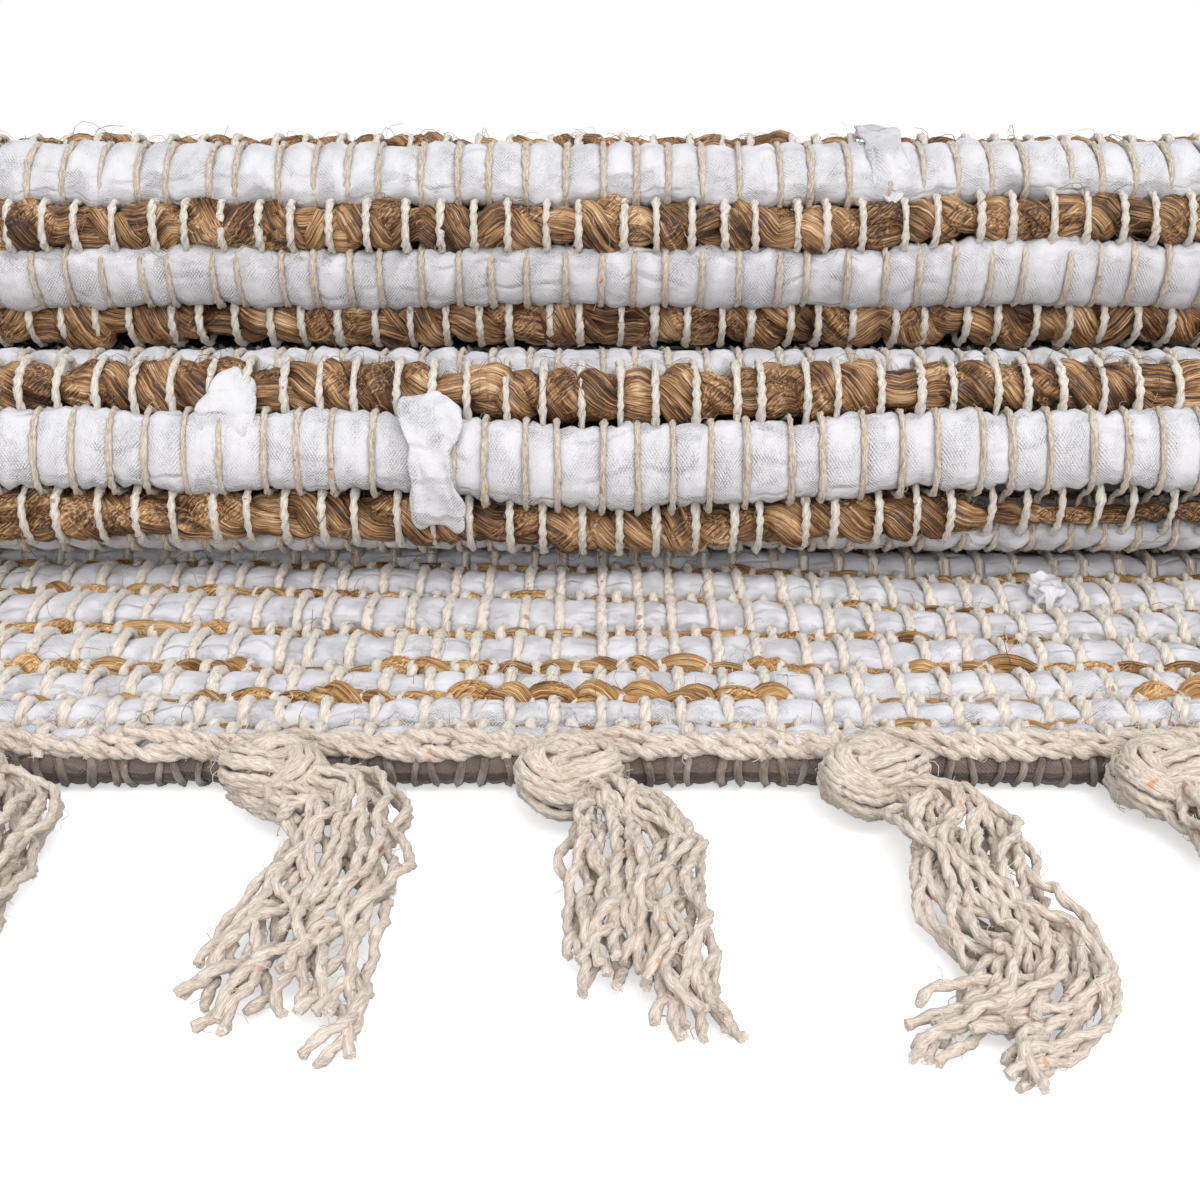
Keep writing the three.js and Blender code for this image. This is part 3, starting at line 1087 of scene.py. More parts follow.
@dataclass(frozen=True)
class Yarn:
    """How a yarn is plied: sizes in mm."""

    plies: int
    ply_radius: float
    ply_offset: float
    lay: float
    sides: int

    def grow(self, tree: PlyTree, lines: Lines, name: str, material: Surface) -> Piece:
        """Makes a piece of this yarn.

        Args:
            tree: The ply tree.
            lines: The yarns' centre lines.
            name: The piece's name.
            material: Its finish.

        Returns:
            The new object.
        """
        source = lines.source()
        piece = tree.grow(
            source, name, Plies=self.plies, Sides=self.sides, Ply_Radius=self.ply_radius * MM,
            Ply_Offset=self.ply_offset * MM, Lay=self.lay * MM, Material=material,
        )
        bpy.data.meshes.remove(source.data)
        return piece


def seat(piece: Piece, slot: str, *nodes: str) -> Piece:
    """Sets a finished piece on the rug's body and hides the solids that it stands for.

    Args:
        piece: The piece.
        slot: Not used.
        nodes: The solids that it replaces.

    Returns:
        The same piece.
    """
    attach(piece, "root")
    if nodes:
        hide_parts(*nodes)
    log.info("%s: %d faces", piece.name, len(piece.data.polygons))
    return piece


def stations_along(weave: Weave, detail: Detail, spacing: tuple[float, float, float]) -> Array:
    """Returns places along a pick, closer together where the rug is looked at closely.

    Args:
        weave: The plan of the cloth.
        detail: How closely this pick is seen.
        spacing: Their spacing on a hidden pick, on a seen one, and in its closely seen part, in mm.
    """
    half = weave.width / 2
    hidden, plain, close = spacing
    if detail is not Detail.CLOSE:
        apart = hidden if detail is Detail.HIDDEN else plain
        return np.linspace(-half, half, round(2 * half / apart) + 1)
    low, high = weave.view_x
    left = np.arange(-half, low, plain)
    middle = np.arange(low, high, close)
    right = np.linspace(high, half, round((half - high) / plain) + 1)
    return np.concatenate([left, middle, right])


@dataclass(frozen=True)
class RagEnd:
    """A loose end of rag that lies over its row, in mm.

    It runs along the cloth from start to end, with its half widths at even steps. It comes up out of the
    row over the first share of it, buried, and its side edges curl up.
    """

    x: float
    start: float
    end: float
    widths: tuple[float, ...]
    rise: float = 0.6
    thick: float = 1.7
    lean: float = 0.0
    buried: float = 0.0
    curl: float = 0.9

    def tube(self, weave: Weave, height: float, seed: int) -> tuple[Array, Array]:
        """Shapes the end as a soft flat pad.

        Args:
            weave: The plan of the cloth.
            height: The height of the row's own surface off the cloth's middle, in mm.
            seed: Picks its irregularities.

        Returns:
            Its points and its cloth attribute, stations by sides by 3.
        """
        rng = noise_rng(Draw.RAG_END, seed)
        t = np.linspace(0, 1, 44)
        angle = np.linspace(0, 2 * np.pi, 36, endpoint=False)
        round_off = np.clip(1 - np.abs(2 * t - 1) ** 7, 0.02, 1) ** 0.5
        width = np.interp(t, np.linspace(0, 1, len(self.widths)), self.widths)
        width = soften(width, 7) * round_off
        s = self.start + (self.end - self.start) * t
        lumps = 0.40 * np.sin(3 * angle[None, :] + 9 * t[:, None]) + 0.30 * np.sin(
            5 * angle[None, :] - 17 * t[:, None] + rng.uniform(0, 6)
        )
        cos, sin = np.cos(angle)[None, :], np.sin(angle)[None, :]
        flat_cos = np.sign(cos) * np.abs(cos) ** 0.75
        flat_sin = np.sign(sin) * np.abs(sin) ** 0.75
        x = self.x + self.lean * (t[:, None] - 0.5) + (width[:, None] + lumps) * flat_cos
        roll_wave = 1 + 0.5 * np.sin(7 * t[:, None] + rng.uniform(0, 6))
        rolled = self.curl * (np.abs(cos) ** 3 - 0.35) * roll_wave
        end_roll = 0.9 * self.curl * smooth_step(0.72, 0.95, t)[:, None]
        sunk = 3.0 * (1 - smooth_step(0, max(self.buried, 1e-6), t))[:, None]
        off = height + self.rise + (self.thick * round_off[:, None] + 0.9 * lumps) * flat_sin
        off = off + (rolled + end_roll) * round_off[:, None] - sunk
        along = np.broadcast_to(s[:, None], x.shape) + 0.5 * np.sin(x * 0.9 + 5 * seed)
        points = weave.place(x, along, off)
        return points, np.stack([x + 300, along, off * 0.3 + 77.0 * seed], axis=-1)


@dataclass
class RagWeft:
    """The picks of cotton rag: soft flattened tubes, pinched where the warp yarns cross them."""

    weave: Weave
    finish: Surface
    square: float = 2.5
    pinch_depth: float = 0.29
    pinch_reach: float = 1.1
    spacing: tuple[float, float, float] = (9.75, 4.0, 0.8)
    sides: tuple[int, int, int] = (5, 8, 16)

    def tube(self, pick: Pick) -> tuple[Array, Array]:
        """Shapes one pick.

        Args:
            pick: The pick.

        Returns:
            Its points and its cloth attribute, stations by sides by 3.
        """
        weave = self.weave
        sides = self.sides[pick.detail.value]
        x = stations_along(weave, pick.detail, self.spacing)
        angle = np.linspace(0, 2 * np.pi, sides, endpoint=False) - np.pi / 2
        cos, sin = np.cos(angle)[None, :], np.sin(angle)[None, :]
        rng = noise_rng(Draw.RAG_PICK, pick.index)
        power = 2 / self.square
        round_s = np.sign(cos) * np.abs(cos) ** power
        round_off = np.sign(sin) * np.abs(sin) ** power
        near_face = weave.pinch(pick, x, True, self.pinch_reach)[:, None]
        near_back = weave.pinch(pick, x, False, self.pinch_reach)[:, None]
        tight = self.pinch_depth * (near_face * np.clip(sin, 0, 1) + near_back * np.clip(-sin, 0, 1))
        squeeze = 0.10 * np.maximum(near_face, near_back) * np.abs(cos)
        yarns = weave.crossings(pick, True)
        pillow = rng.normal(0, 0.05, len(yarns) + 1)[np.searchsorted(yarns, x)]
        pillow = soften(pillow, 5)[:, None]
        swell = 1 + 0.03 * ripple(x, rng, 13)[:, None] + pillow
        wide = pick.wide * (1 + 0.035 * ripple(x, rng, 17)[:, None] + 0.5 * pillow)
        wander = 0.28 * ripple(x, rng, 45)[:, None]
        lumps = np.zeros((len(x), sides))
        for _ in range(7):
            phase = 2 * np.pi * (x / rng.uniform(3.0, 11) + rng.uniform())
            lumps += np.sin(phase[:, None] + rng.integers(1, 6) * angle[None, :] + rng.uniform(0, 6))
        lumps *= 0.085
        s = pick.s + wander + wide * (1 - squeeze) * round_s + lumps * cos
        rise = pick.deep * swell * (1 - tight) * round_off + lumps * sin
        off = pick.off + rise * pick.fullness(x)[:, None]
        across = np.broadcast_to(x[:, None], s.shape)
        points = weave.place(across, s, off)
        around = np.broadcast_to(angle[None, :] * (pick.wide + pick.deep) / 2, s.shape)
        apart = np.full(s.shape, 4.0 * pick.index)
        return points, np.stack([across, around + 40.0 * pick.index, apart], axis=-1)

    def ends(self) -> list[tuple[int, RagEnd]]:
        """Lists the loose rag ends with the layer that each belongs to."""
        fold = self.weave.on_fold
        low, up = self.weave.lower, self.weave.upper
        left = (-40.5, fold(low, -6), fold(low, 68), (5.4, 5.6, 5.3, 4.6, 2.8))
        middle = (-4.4, fold(low, -20), fold(low, 52), (5.4, 4.7, 3.5, 3.4, 5.6, 6.2))
        above = (76.5, fold(up, 30), fold(up, 104), (3.6, 3.4, 3.2, 3.9, 4.6))
        return [
            (1, RagEnd(*left, rise=0.0, thick=1.5, lean=2.5, buried=1.0, curl=0.4)),
            (1, RagEnd(*middle, rise=0.7, thick=1.2, lean=-1.5)),
            (3, RagEnd(*above, rise=0.2, thick=1.2, lean=-1.5, buried=0.4, curl=0.6)),
            (0, RagEnd(103.0, 64.0, 72.0, (2.0, 2.9, 2.0), thick=1.6)),
        ]

    def build(self) -> list[Piece]:
        """Makes one piece for each layer of the fold."""
        pieces = []
        for layer in range(self.weave.layers):
            skin = Skin()
            for pick in self.weave.picks:
                if pick.kind is Kind.RAG and pick.layer == layer:
                    skin.add_tube(*self.tube(pick))
            for seed, (home, end) in enumerate(self.ends()):
                if home == layer:
                    row = self.weave.nearest((end.start + end.end) / 2)
                    skin.add_tube(*end.tube(self.weave, row.off + row.deep, seed))
            name = f"cotton_rag_weft_{layer + 1}"
            piece = seat(skin.piece(name, self.finish), "rag_cotton", f"cotton_rag_weft_layer_{layer + 1}")
            pieces.append(piece)
        return pieces


@dataclass
class JuteWeft:
    """The picks of jute: a soft roving of two plies, pinched by the warp yarns."""

    weave: Weave
    tree: PlyTree
    finishes: Finishes
    close: Yarn = Yarn(2, 0.66, 0.39, 13.5, 9)
    plain: Yarn = Yarn(2, 0.70, 0.34, 17.0, 4)
    hidden: Yarn = Yarn(1, 0.95, 0.0, 30.0, 5)
    spacing: tuple[float, float, float] = (13.0, 3.0, 0.75)

    def line(self, pick: Pick) -> tuple[Array, Array, Array]:
        """Returns one pick's centre line, its radius along it in mm, and its twist."""
        weave = self.weave
        x = stations_along(weave, pick.detail, self.spacing)
        rng = noise_rng(Draw.JUTE_PICK, pick.index)
        wander = 0.28 * ripple(x, rng, 30)
        size = (pick.wide + pick.deep) / 2
        radius = size * (1 + 0.07 * ripple(x, rng, 9)) * pick.fullness(x)
        off = pick.off + 0.15 * ripple(x, rng, 12)
        if pick.humped:
            hump = weave.hump(pick, x)
            radius = radius * (0.92 + 0.34 * hump)
            off = off + 1.9 * hump
        else:
            above, below = weave.pinch(pick, x, True, 1.1), weave.pinch(pick, x, False, 0.85)
            radius = radius * (1 - 0.27 * above - 0.06 * below)
            yarns = weave.crossings(pick, True)
            plump = rng.normal(0.02, 0.075, len(yarns) + 1)[np.searchsorted(yarns, x)]
            radius = radius * (1 + soften(plump, 3))
        twist = rng.uniform() + 0.30 * ripple(x, rng, 24)
        return weave.place(x, pick.s + wander, off), radius, twist

    def build(self) -> dict[Detail, list[Piece]]:
        """Makes the pieces for each layer of the fold, and returns them by how closely they are seen."""
        made: dict[Detail, list[Piece]] = {detail: [] for detail in Detail}
        yarns = {Detail.CLOSE: self.close, Detail.PLAIN: self.plain, Detail.HIDDEN: self.hidden}
        labels = {Detail.CLOSE: "front", Detail.PLAIN: "outer", Detail.HIDDEN: "inner"}
        for layer in range(self.weave.layers):
            sets: dict[tuple[str, Detail], Lines] = {}
            for pick in self.weave.picks:
                if pick.kind is Kind.JUTE and pick.layer == layer:
                    golden = pick.humped and pick.detail is Detail.CLOSE
                    label = "flat" if golden else labels[pick.detail]
                    sets.setdefault((label, pick.detail), Lines()).add(*self.line(pick))
            for (label, detail), lines in sets.items():
                # The flat front layer's jute takes the lighter copy: painted light.
                finish = self.finishes.golden if label == "flat" else self.finishes.jute
                piece = yarns[detail].grow(self.tree, lines, f"jute_weft_{layer + 1}_{label}", finish)
                made[detail].append(seat(piece, "jute", f"jute_weft_layer_{layer + 1}"))
        return made


@dataclass
class WarpYarns:
    """The warp: two-ply cotton yarns over and under the picks."""

    weave: Weave
    tree: PlyTree
    finishes: Finishes
    close: Yarn = Yarn(2, 0.47, 0.27, 4.8, 5)
    fluffy: Yarn = Yarn(2, 0.72, 0.31, 5.6, 5)
    plain: Yarn = Yarn(1, 0.92, 0.0, 20.0, 3)
    hidden: Yarn = Yarn(1, 0.70, 0.0, 20.0, 3)
    coarse_run: float = 0.72

    def crossing(self, warp: int, pick: Pick, low: float, high: float, count: int) -> Array:
        """Lays a warp yarn over or under one pick.

        Args:
            warp: The yarn's number.
            pick: The pick.
            low: Where the pick's share of the cloth begins, in mm along the fold line.
            high: Where it ends.
            count: How many points to use.

        Returns:
            Rows of (place along the cloth, height off it).
        """
        weave = self.weave
        turn = (np.arange(count) + 0.5) / count * np.pi - np.pi / 2
        power = 2 / weave.hug
        rag_sunk, rag_clear, jute_sunk, jute_clear = 0.80, 0.75, 0.84, 0.6
        run = np.sign(turn) * np.abs(np.sin(turn)) ** power
        rise = np.abs(np.cos(turn)) ** power
        if count == 2:
            run, rise = run * self.coarse_run, np.ones(2)
        half = np.where(turn < 0, pick.s - low, high - pick.s)
        over = pick.over(warp)
        if pick.kind is Kind.RAG:
            top = pick.deep * rag_sunk + weave.warp_radius * rag_clear
        else:
            top = (pick.wide + pick.deep) / 2 * jute_sunk + weave.warp_radius * jute_clear
        x = weave.at[pick.index][warp]
        top *= float(pick.fullness(np.array([x]))[0])
        return np.c_[pick.s + half * run, pick.off + (top if over else -top) * rise]

    def yarn(self, warp: int) -> Iterator[tuple[Detail, bool, Array]]:
        """Yields one yarn as stretches: how closely each is seen, whether it lies in front, its points."""
        weave = self.weave
        picks = weave.picks
        wides = np.array([p.wide for p in picks])
        places = np.array([p.s for p in picks])
        bounds = places[:-1] + np.diff(places) * wides[:-1] / (wides[:-1] + wides[1:])
        lows = np.r_[-1.2, bounds]
        highs = np.r_[bounds, weave.line.length + 1.0]
        stretch: list[Array] = []
        current: tuple[Detail, bool] | None = None
        last = np.zeros((0, 3))
        for k, pick in enumerate(picks):
            x = weave.at[k][warp]
            detail = pick.detail
            if detail is Detail.CLOSE and not weave.view_x[0] < x < weave.view_x[1]:
                detail = Detail.PLAIN
            over = pick.over(warp)
            counts = {Detail.CLOSE: (10, 2), Detail.PLAIN: (2, 1), Detail.HIDDEN: (1, 1)}[detail]
            flat = self.crossing(warp, pick, lows[k], highs[k], counts[0] if over else counts[1])
            xs = np.interp(flat[:, 0], places, weave.at[:, warp])
            points = weave.place(xs, flat[:, 0], flat[:, 1])
            if (detail, pick.humped) != current:
                if stretch:
                    yield (*current, np.concatenate([*stretch, points[:1]]))
                stretch = [last[-1:]] if len(last) else []
                current = (detail, pick.humped)
            stretch.append(points)
            last = points
        yield (*current, np.concatenate(stretch))

    def _dress(self, detail: Detail, flat: bool, odd: bool) -> tuple[str, Yarn, Surface]:
        """Returns the label, the yarn and the finish for a kind of stretch."""
        if detail is Detail.HIDDEN:
            return "inner", self.hidden, self.finishes.cream
        if detail is Detail.PLAIN:
            return "outer", self.plain, self.finishes.cream
        if flat:
            return "flat", self.fluffy, self.finishes.fluffy
        if odd:
            return "over_jute", self.close, self.finishes.pale
        return "over_rag", self.close, self.finishes.cream

    def build(self) -> tuple[list[Piece], list[Piece]]:
        """Makes the yarns of each tassel's bunch, and returns the flat-lying and the folded close ones."""
        weave = self.weave
        flat_pieces, folded_pieces = [], []
        for bunch in range(weave.bunches):
            sets: dict[str, tuple[Yarn, Surface, Lines]] = {}
            for warp in range(bunch * weave.bunch, (bunch + 1) * weave.bunch):
                rng = noise_rng(Draw.WARP_YARN, warp)
                for detail, flat, points in self.yarn(warp):
                    label, yarn, finish = self._dress(detail, flat, warp % 2 == 1)
                    lines = sets.setdefault(label, (yarn, finish, Lines()))[2]
                    size = {"over_jute": 1.2, "outer": 1.35 if flat else 1.1}.get(label, 1.0)
                    thick = size * (1 + 0.09 * ripple(np.arange(len(points)) * 1.0, rng, 14))
                    lines.add(points, thick, rng.uniform())
            for label, (yarn, finish, lines) in sorted(sets.items(), key=lambda item: item[0]):
                piece = yarn.grow(self.tree, lines, f"warp_yarns_{bunch + 1:02d}_{label}", finish)
                seat(piece, "warp_cotton", f"warp_group_{bunch // 6 + 1}")
                if label == "flat":
                    flat_pieces.append(piece)
                elif label.startswith("over"):
                    folded_pieces.append(piece)
        return flat_pieces, folded_pieces


# --------------------------------------------------------------- edges, fringe


@dataclass
class TwinedEdge:
    """The cords twined across the warp ends at one end of the rug, and the last rag pick under them."""

    weave: Weave
    tree: PlyTree
    finishes: Finishes
    strand: Yarn = Yarn(2, 0.50, 0.24, 5.4, 5)
    wrap: Yarn = Yarn(1, 0.62, 0.0, 9.0, 4)
    twine_lay: float = 8.5
    twine_reach: float = 0.62
    roll_in: float = 5.4
    roll_wide: float = 3.2
    seen_step: float = 0.8
    unseen_step: float = 3.0

    def edge(self, node: str, front: bool) -> tuple[float, float, float, int]:
        """Returns where an edge's outer face is along Y, its lowest and highest points, and its way out."""
        low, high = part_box(node)
        return (low.y if front else high.y) / MM, low.z / MM, high.z / MM, 1 if front else -1

    def stations(self, front: bool) -> Array:
        """Returns places across the rug, closer together on the front edge, which is the one seen."""
        half = self.weave.width / 2
        return np.arange(-half, half + 0.1, self.seen_step if front else self.unseen_step)

    def cords(self, node: str, front: bool) -> Piece:
        """Makes the two twined cords, one above the other, from four strands.

        Args:
            node: The solid that they stand for.
            front: Whether this is the front edge.

        Returns:
            The new piece.
        """
        face, _, top, way = self.edge(node, front)
        x = self.stations(front)
        lines = Lines()
        for cord, (in_by, down) in enumerate(((4.3, 1.3), (3.1, 2.5))):
            rng = noise_rng(Draw.CORD, int(front), cord)
            sway_y, sway_z = 0.30 * ripple(x, rng, 24), 0.36 * ripple(x, rng, 21)
            turn = 2 * np.pi * x / self.twine_lay + 1.1 * ripple(x, rng, 26)
            for strand in range(2):
                angle = turn + strand * np.pi + cord
                y = face + way * (in_by + sway_y + self.twine_reach * 0.8 * np.cos(angle))
                z = top - down + sway_z + self.twine_reach * np.sin(angle)
                thick = 1.2 + 0.20 * ripple(x, noise_rng(Draw.CORD, int(front), cord, strand), 9)
                lines.add(np.c_[x, y, z], thick)
        name = f"{'front' if front else 'back'}_twined_cords"
        yarn = self.strand if front else self.wrap
        return seat(yarn.grow(self.tree, lines, name, self.finishes.ecru), "warp_cotton", node)

    def wraps(self, node: str, front: bool) -> Piece:
        """Makes the warp ends that go down round the last rag pick, from the cords to its underside, in a
        dark finish that paints the shade under the cords.
        """
        face, bottom, _, way = self.edge(node, front)
        lines = Lines()
        rng = noise_rng(Draw.WRAP, int(front))
        for at in self.weave.at[0 if front else -1]:
            angle = np.linspace(0.7, -1.7, 7)
            x = at + 0.4 * np.sin(2 * angle + rng.uniform(0, 6)) + rng.normal(0, 0.25)
            y = face + way * (self.roll_in - self.roll_wide * np.cos(angle))
            z = bottom + 3.5 + 2.9 * np.sin(angle)
            lines.add(np.c_[x, y, z], rng.uniform(0.85, 1.1))
        name = f"{'front' if front else 'back'}_edge_wraps"
        return seat(self.wrap.grow(self.tree, lines, name, self.finishes.painted_shade_warp), "warp_cotton", node)

    def end_roll(self, node: str, front: bool) -> Piece:
        """Makes the last rag pick where it shows below the cords, in a dark finish that paints the shade
        under them.
        """
        face, bottom, _, way = self.edge(node, front)
        x = self.stations(front)
        rng = noise_rng(Draw.END_ROLL, int(front))
        sides = 12
        angle = np.linspace(0, 2 * np.pi, sides, endpoint=False)
        _, gap = beside(np.sort(self.weave.at[0 if front else -1]), x)
        size = 0.84 + 0.16 * np.clip(gap / 1.5, 0, 1) + 0.04 * ripple(x, rng, 15)
        size = size[:, None] * np.ones((1, sides))
        y = face + way * self.roll_in - self.roll_wide * size * np.cos(angle)[None, :]
        z = bottom + 3.4 + 2.85 * size * np.sin(angle)[None, :]
        across = np.broadcast_to(x[:, None], y.shape)
        around = np.broadcast_to(angle[None, :] * 2.5, y.shape)
        skin = Skin()
        skin.add_tube(np.stack([across, y, z], -1), np.stack([across, around, np.zeros_like(y)], -1))
        piece = skin.piece(f"{'front' if front else 'back'}_rag_end", self.finishes.painted_shade_rag)
        return seat(piece, "rag_cotton", node)

    def build(self, node: str, front: bool) -> Piece:
        """Makes one edge's pieces and returns its cords."""
        cords = self.cords(node, front)
        self.wraps(node, front)
        self.end_roll(node, front)
        return cords


class Lie(Enum):
    """How a tassel's tail lies."""

    FLOOR = "floor"
    HANGING = "hanging"


Way = Sequence[tuple[float, float, float]]
GOLDEN_ANGLE = 2.399


@dataclass
class Tassel:
    """One tassel: a bunch of warp ends with an overhand knot, and the tail beyond it, in mm.

    The tail's points start below the knot. Its widths are half the tail's width at even shares of its
    length, and its yarns gather in clumps towards the end.
    """

    number: int
    lie: Lie
    start: Vector
    tail: Way
    widths: Sequence[float] = (2.6, 6.6, 7.2, 7.0, 7.6)
    strands: int = 22
    clumps: int = 5
    bunch_radius: float = 2.6
    bunch_lay: float = 16.0
    knot_size: float = 1.95
    flip: int = 1
    step: float = 1.0

    def spine(self) -> tuple[Array, Array]:
        """Returns the bunch's middle line and a share along it of 0 in the knot to 1 at the tail's end."""
        t = np.linspace(math.pi + 0.45, 3 * math.pi - 0.45, 60)
        size = self.knot_size
        run = 0.80 * size * (np.sin(t) + 2 * np.sin(2 * t))
        side = size * (np.cos(t) - 2 * np.cos(2 * t))
        rise = -1.25 * size * np.sin(3 * t)
        knot = np.c_[self.flip * 1.15 * (side + size * 0.35), -0.72 * run, 0.85 * rise]
        knot -= np.array([0, 5.2, 0])
        first = np.array([[0.0, 3.0, -1.0], [0.0, 0.5, 0.0]])
        path = np.concatenate([first, knot, np.array(self.tail, dtype=float)])
        chord = np.r_[0, np.cumsum(np.linalg.norm(np.diff(path, axis=0), axis=1))]
        s = np.arange(0, chord[-1], self.step)
        smooth = np.stack([np.interp(s, chord, path[:, k]) for k in range(3)], axis=-1)
        knot_end = chord[len(first) + len(knot) - 1]
        share = np.clip((s - knot_end) / (chord[-1] - knot_end), 0, 1)
        soft, firm = (
            np.stack([soften(smooth[:, k], size) for k in range(3)], axis=-1) for size in (13, 5)
        )
        mix = smooth_step(0.02, 0.2, share)[:, None]
        return firm * (1 - mix) + soft * mix, share

    def strand(self, k: int, spine: Array, share: Array) -> Array:
        """Lays one yarn of the bunch along its middle line.

        Args:
            k: The yarn's number.
            spine: The middle line.
            share: The share along it of each of its points.

        Returns:
            The yarn's points.
        """
        rng = noise_rng(Draw.FRINGE_YARN, self.number, k)
        inner = 0.0 if k == 0 else (0.5 if k < 5 else 1.0)
        angle = k * GOLDEN_ANGLE + rng.uniform(-0.4, 0.4)
        tangent = np.gradient(spine, axis=0)
        tangent /= np.linalg.norm(tangent, axis=1, keepdims=True)
        up = np.array([0.0, 0.0, 1.0]) if self.lie is Lie.FLOOR else np.array([0.0, 1.0, 0.2])
        side = np.cross(tangent, up)
        side /= np.maximum(np.linalg.norm(side, axis=1, keepdims=True), 0.25)
        lift = np.cross(side, tangent)
        run = np.arange(len(spine)) * self.step
        twist = angle + run / self.bunch_lay
        lane = ((k * 5) % self.strands + 0.5) / self.strands * 2 - 1
        tier = (k % 3 - 1) * 1.25
        clump = math.floor((lane + 1) / 2 * self.clumps)
        centre = (clump + 0.5) / self.clumps * 2 - 1
        clump_rng = noise_rng(Draw.CLUMP, self.number, clump)
        centre = 1.15 * centre + clump_rng.uniform(-0.12, 0.12)
        gather = smooth_step(0.6, 0.98, share) * 0.62
        spot = lane * (1 - gather) + centre * gather
        half = np.interp(share, np.linspace(0, 1, len(self.widths)), self.widths)
        loose = smooth_step(0.0, 0.16, share)
        body = 1 - 0.45 * smooth_step(0.25, 1.0, share)
        a = self.bunch_radius * inner * np.cos(twist) * (1 - loose) + half * spot * loose
        arch = 1.6 * (1 - spot**2) * body
        b = self.bunch_radius * inner * np.sin(twist) * (1 - loose)
        b = b + (tier * body * (1 - 0.6 * gather) + arch) * loose
        crimp = smooth_step(0.03, 0.2, share)
        phase = rng.uniform(0, 2 * math.pi)
        wave = 2 * math.pi * run / rng.uniform(5.6, 7.4) + phase + 0.6 * ripple(run, rng, 19)
        a = a + crimp * (0.30 * np.sin(wave) + 1.4 * ripple(run, rng, 30))
        b = b + crimp * (0.30 * np.cos(wave) + 0.7 * ripple(run, rng, 25))
        points = spine + side * a[:, None] + lift * b[:, None]
        shorter = clump_rng.uniform(0.90, 1.0) * rng.uniform(0.93, 1.0)
        return points[: int(len(points) * shorter)]


@dataclass(frozen=True)
class Pose:
    """How a front tassel lies: its tail, the tail's half widths, its hand and how far it is off its place."""

    tail: Way
    widths: tuple[float, ...]
    flip: int = 1
    shift: float = 0.0


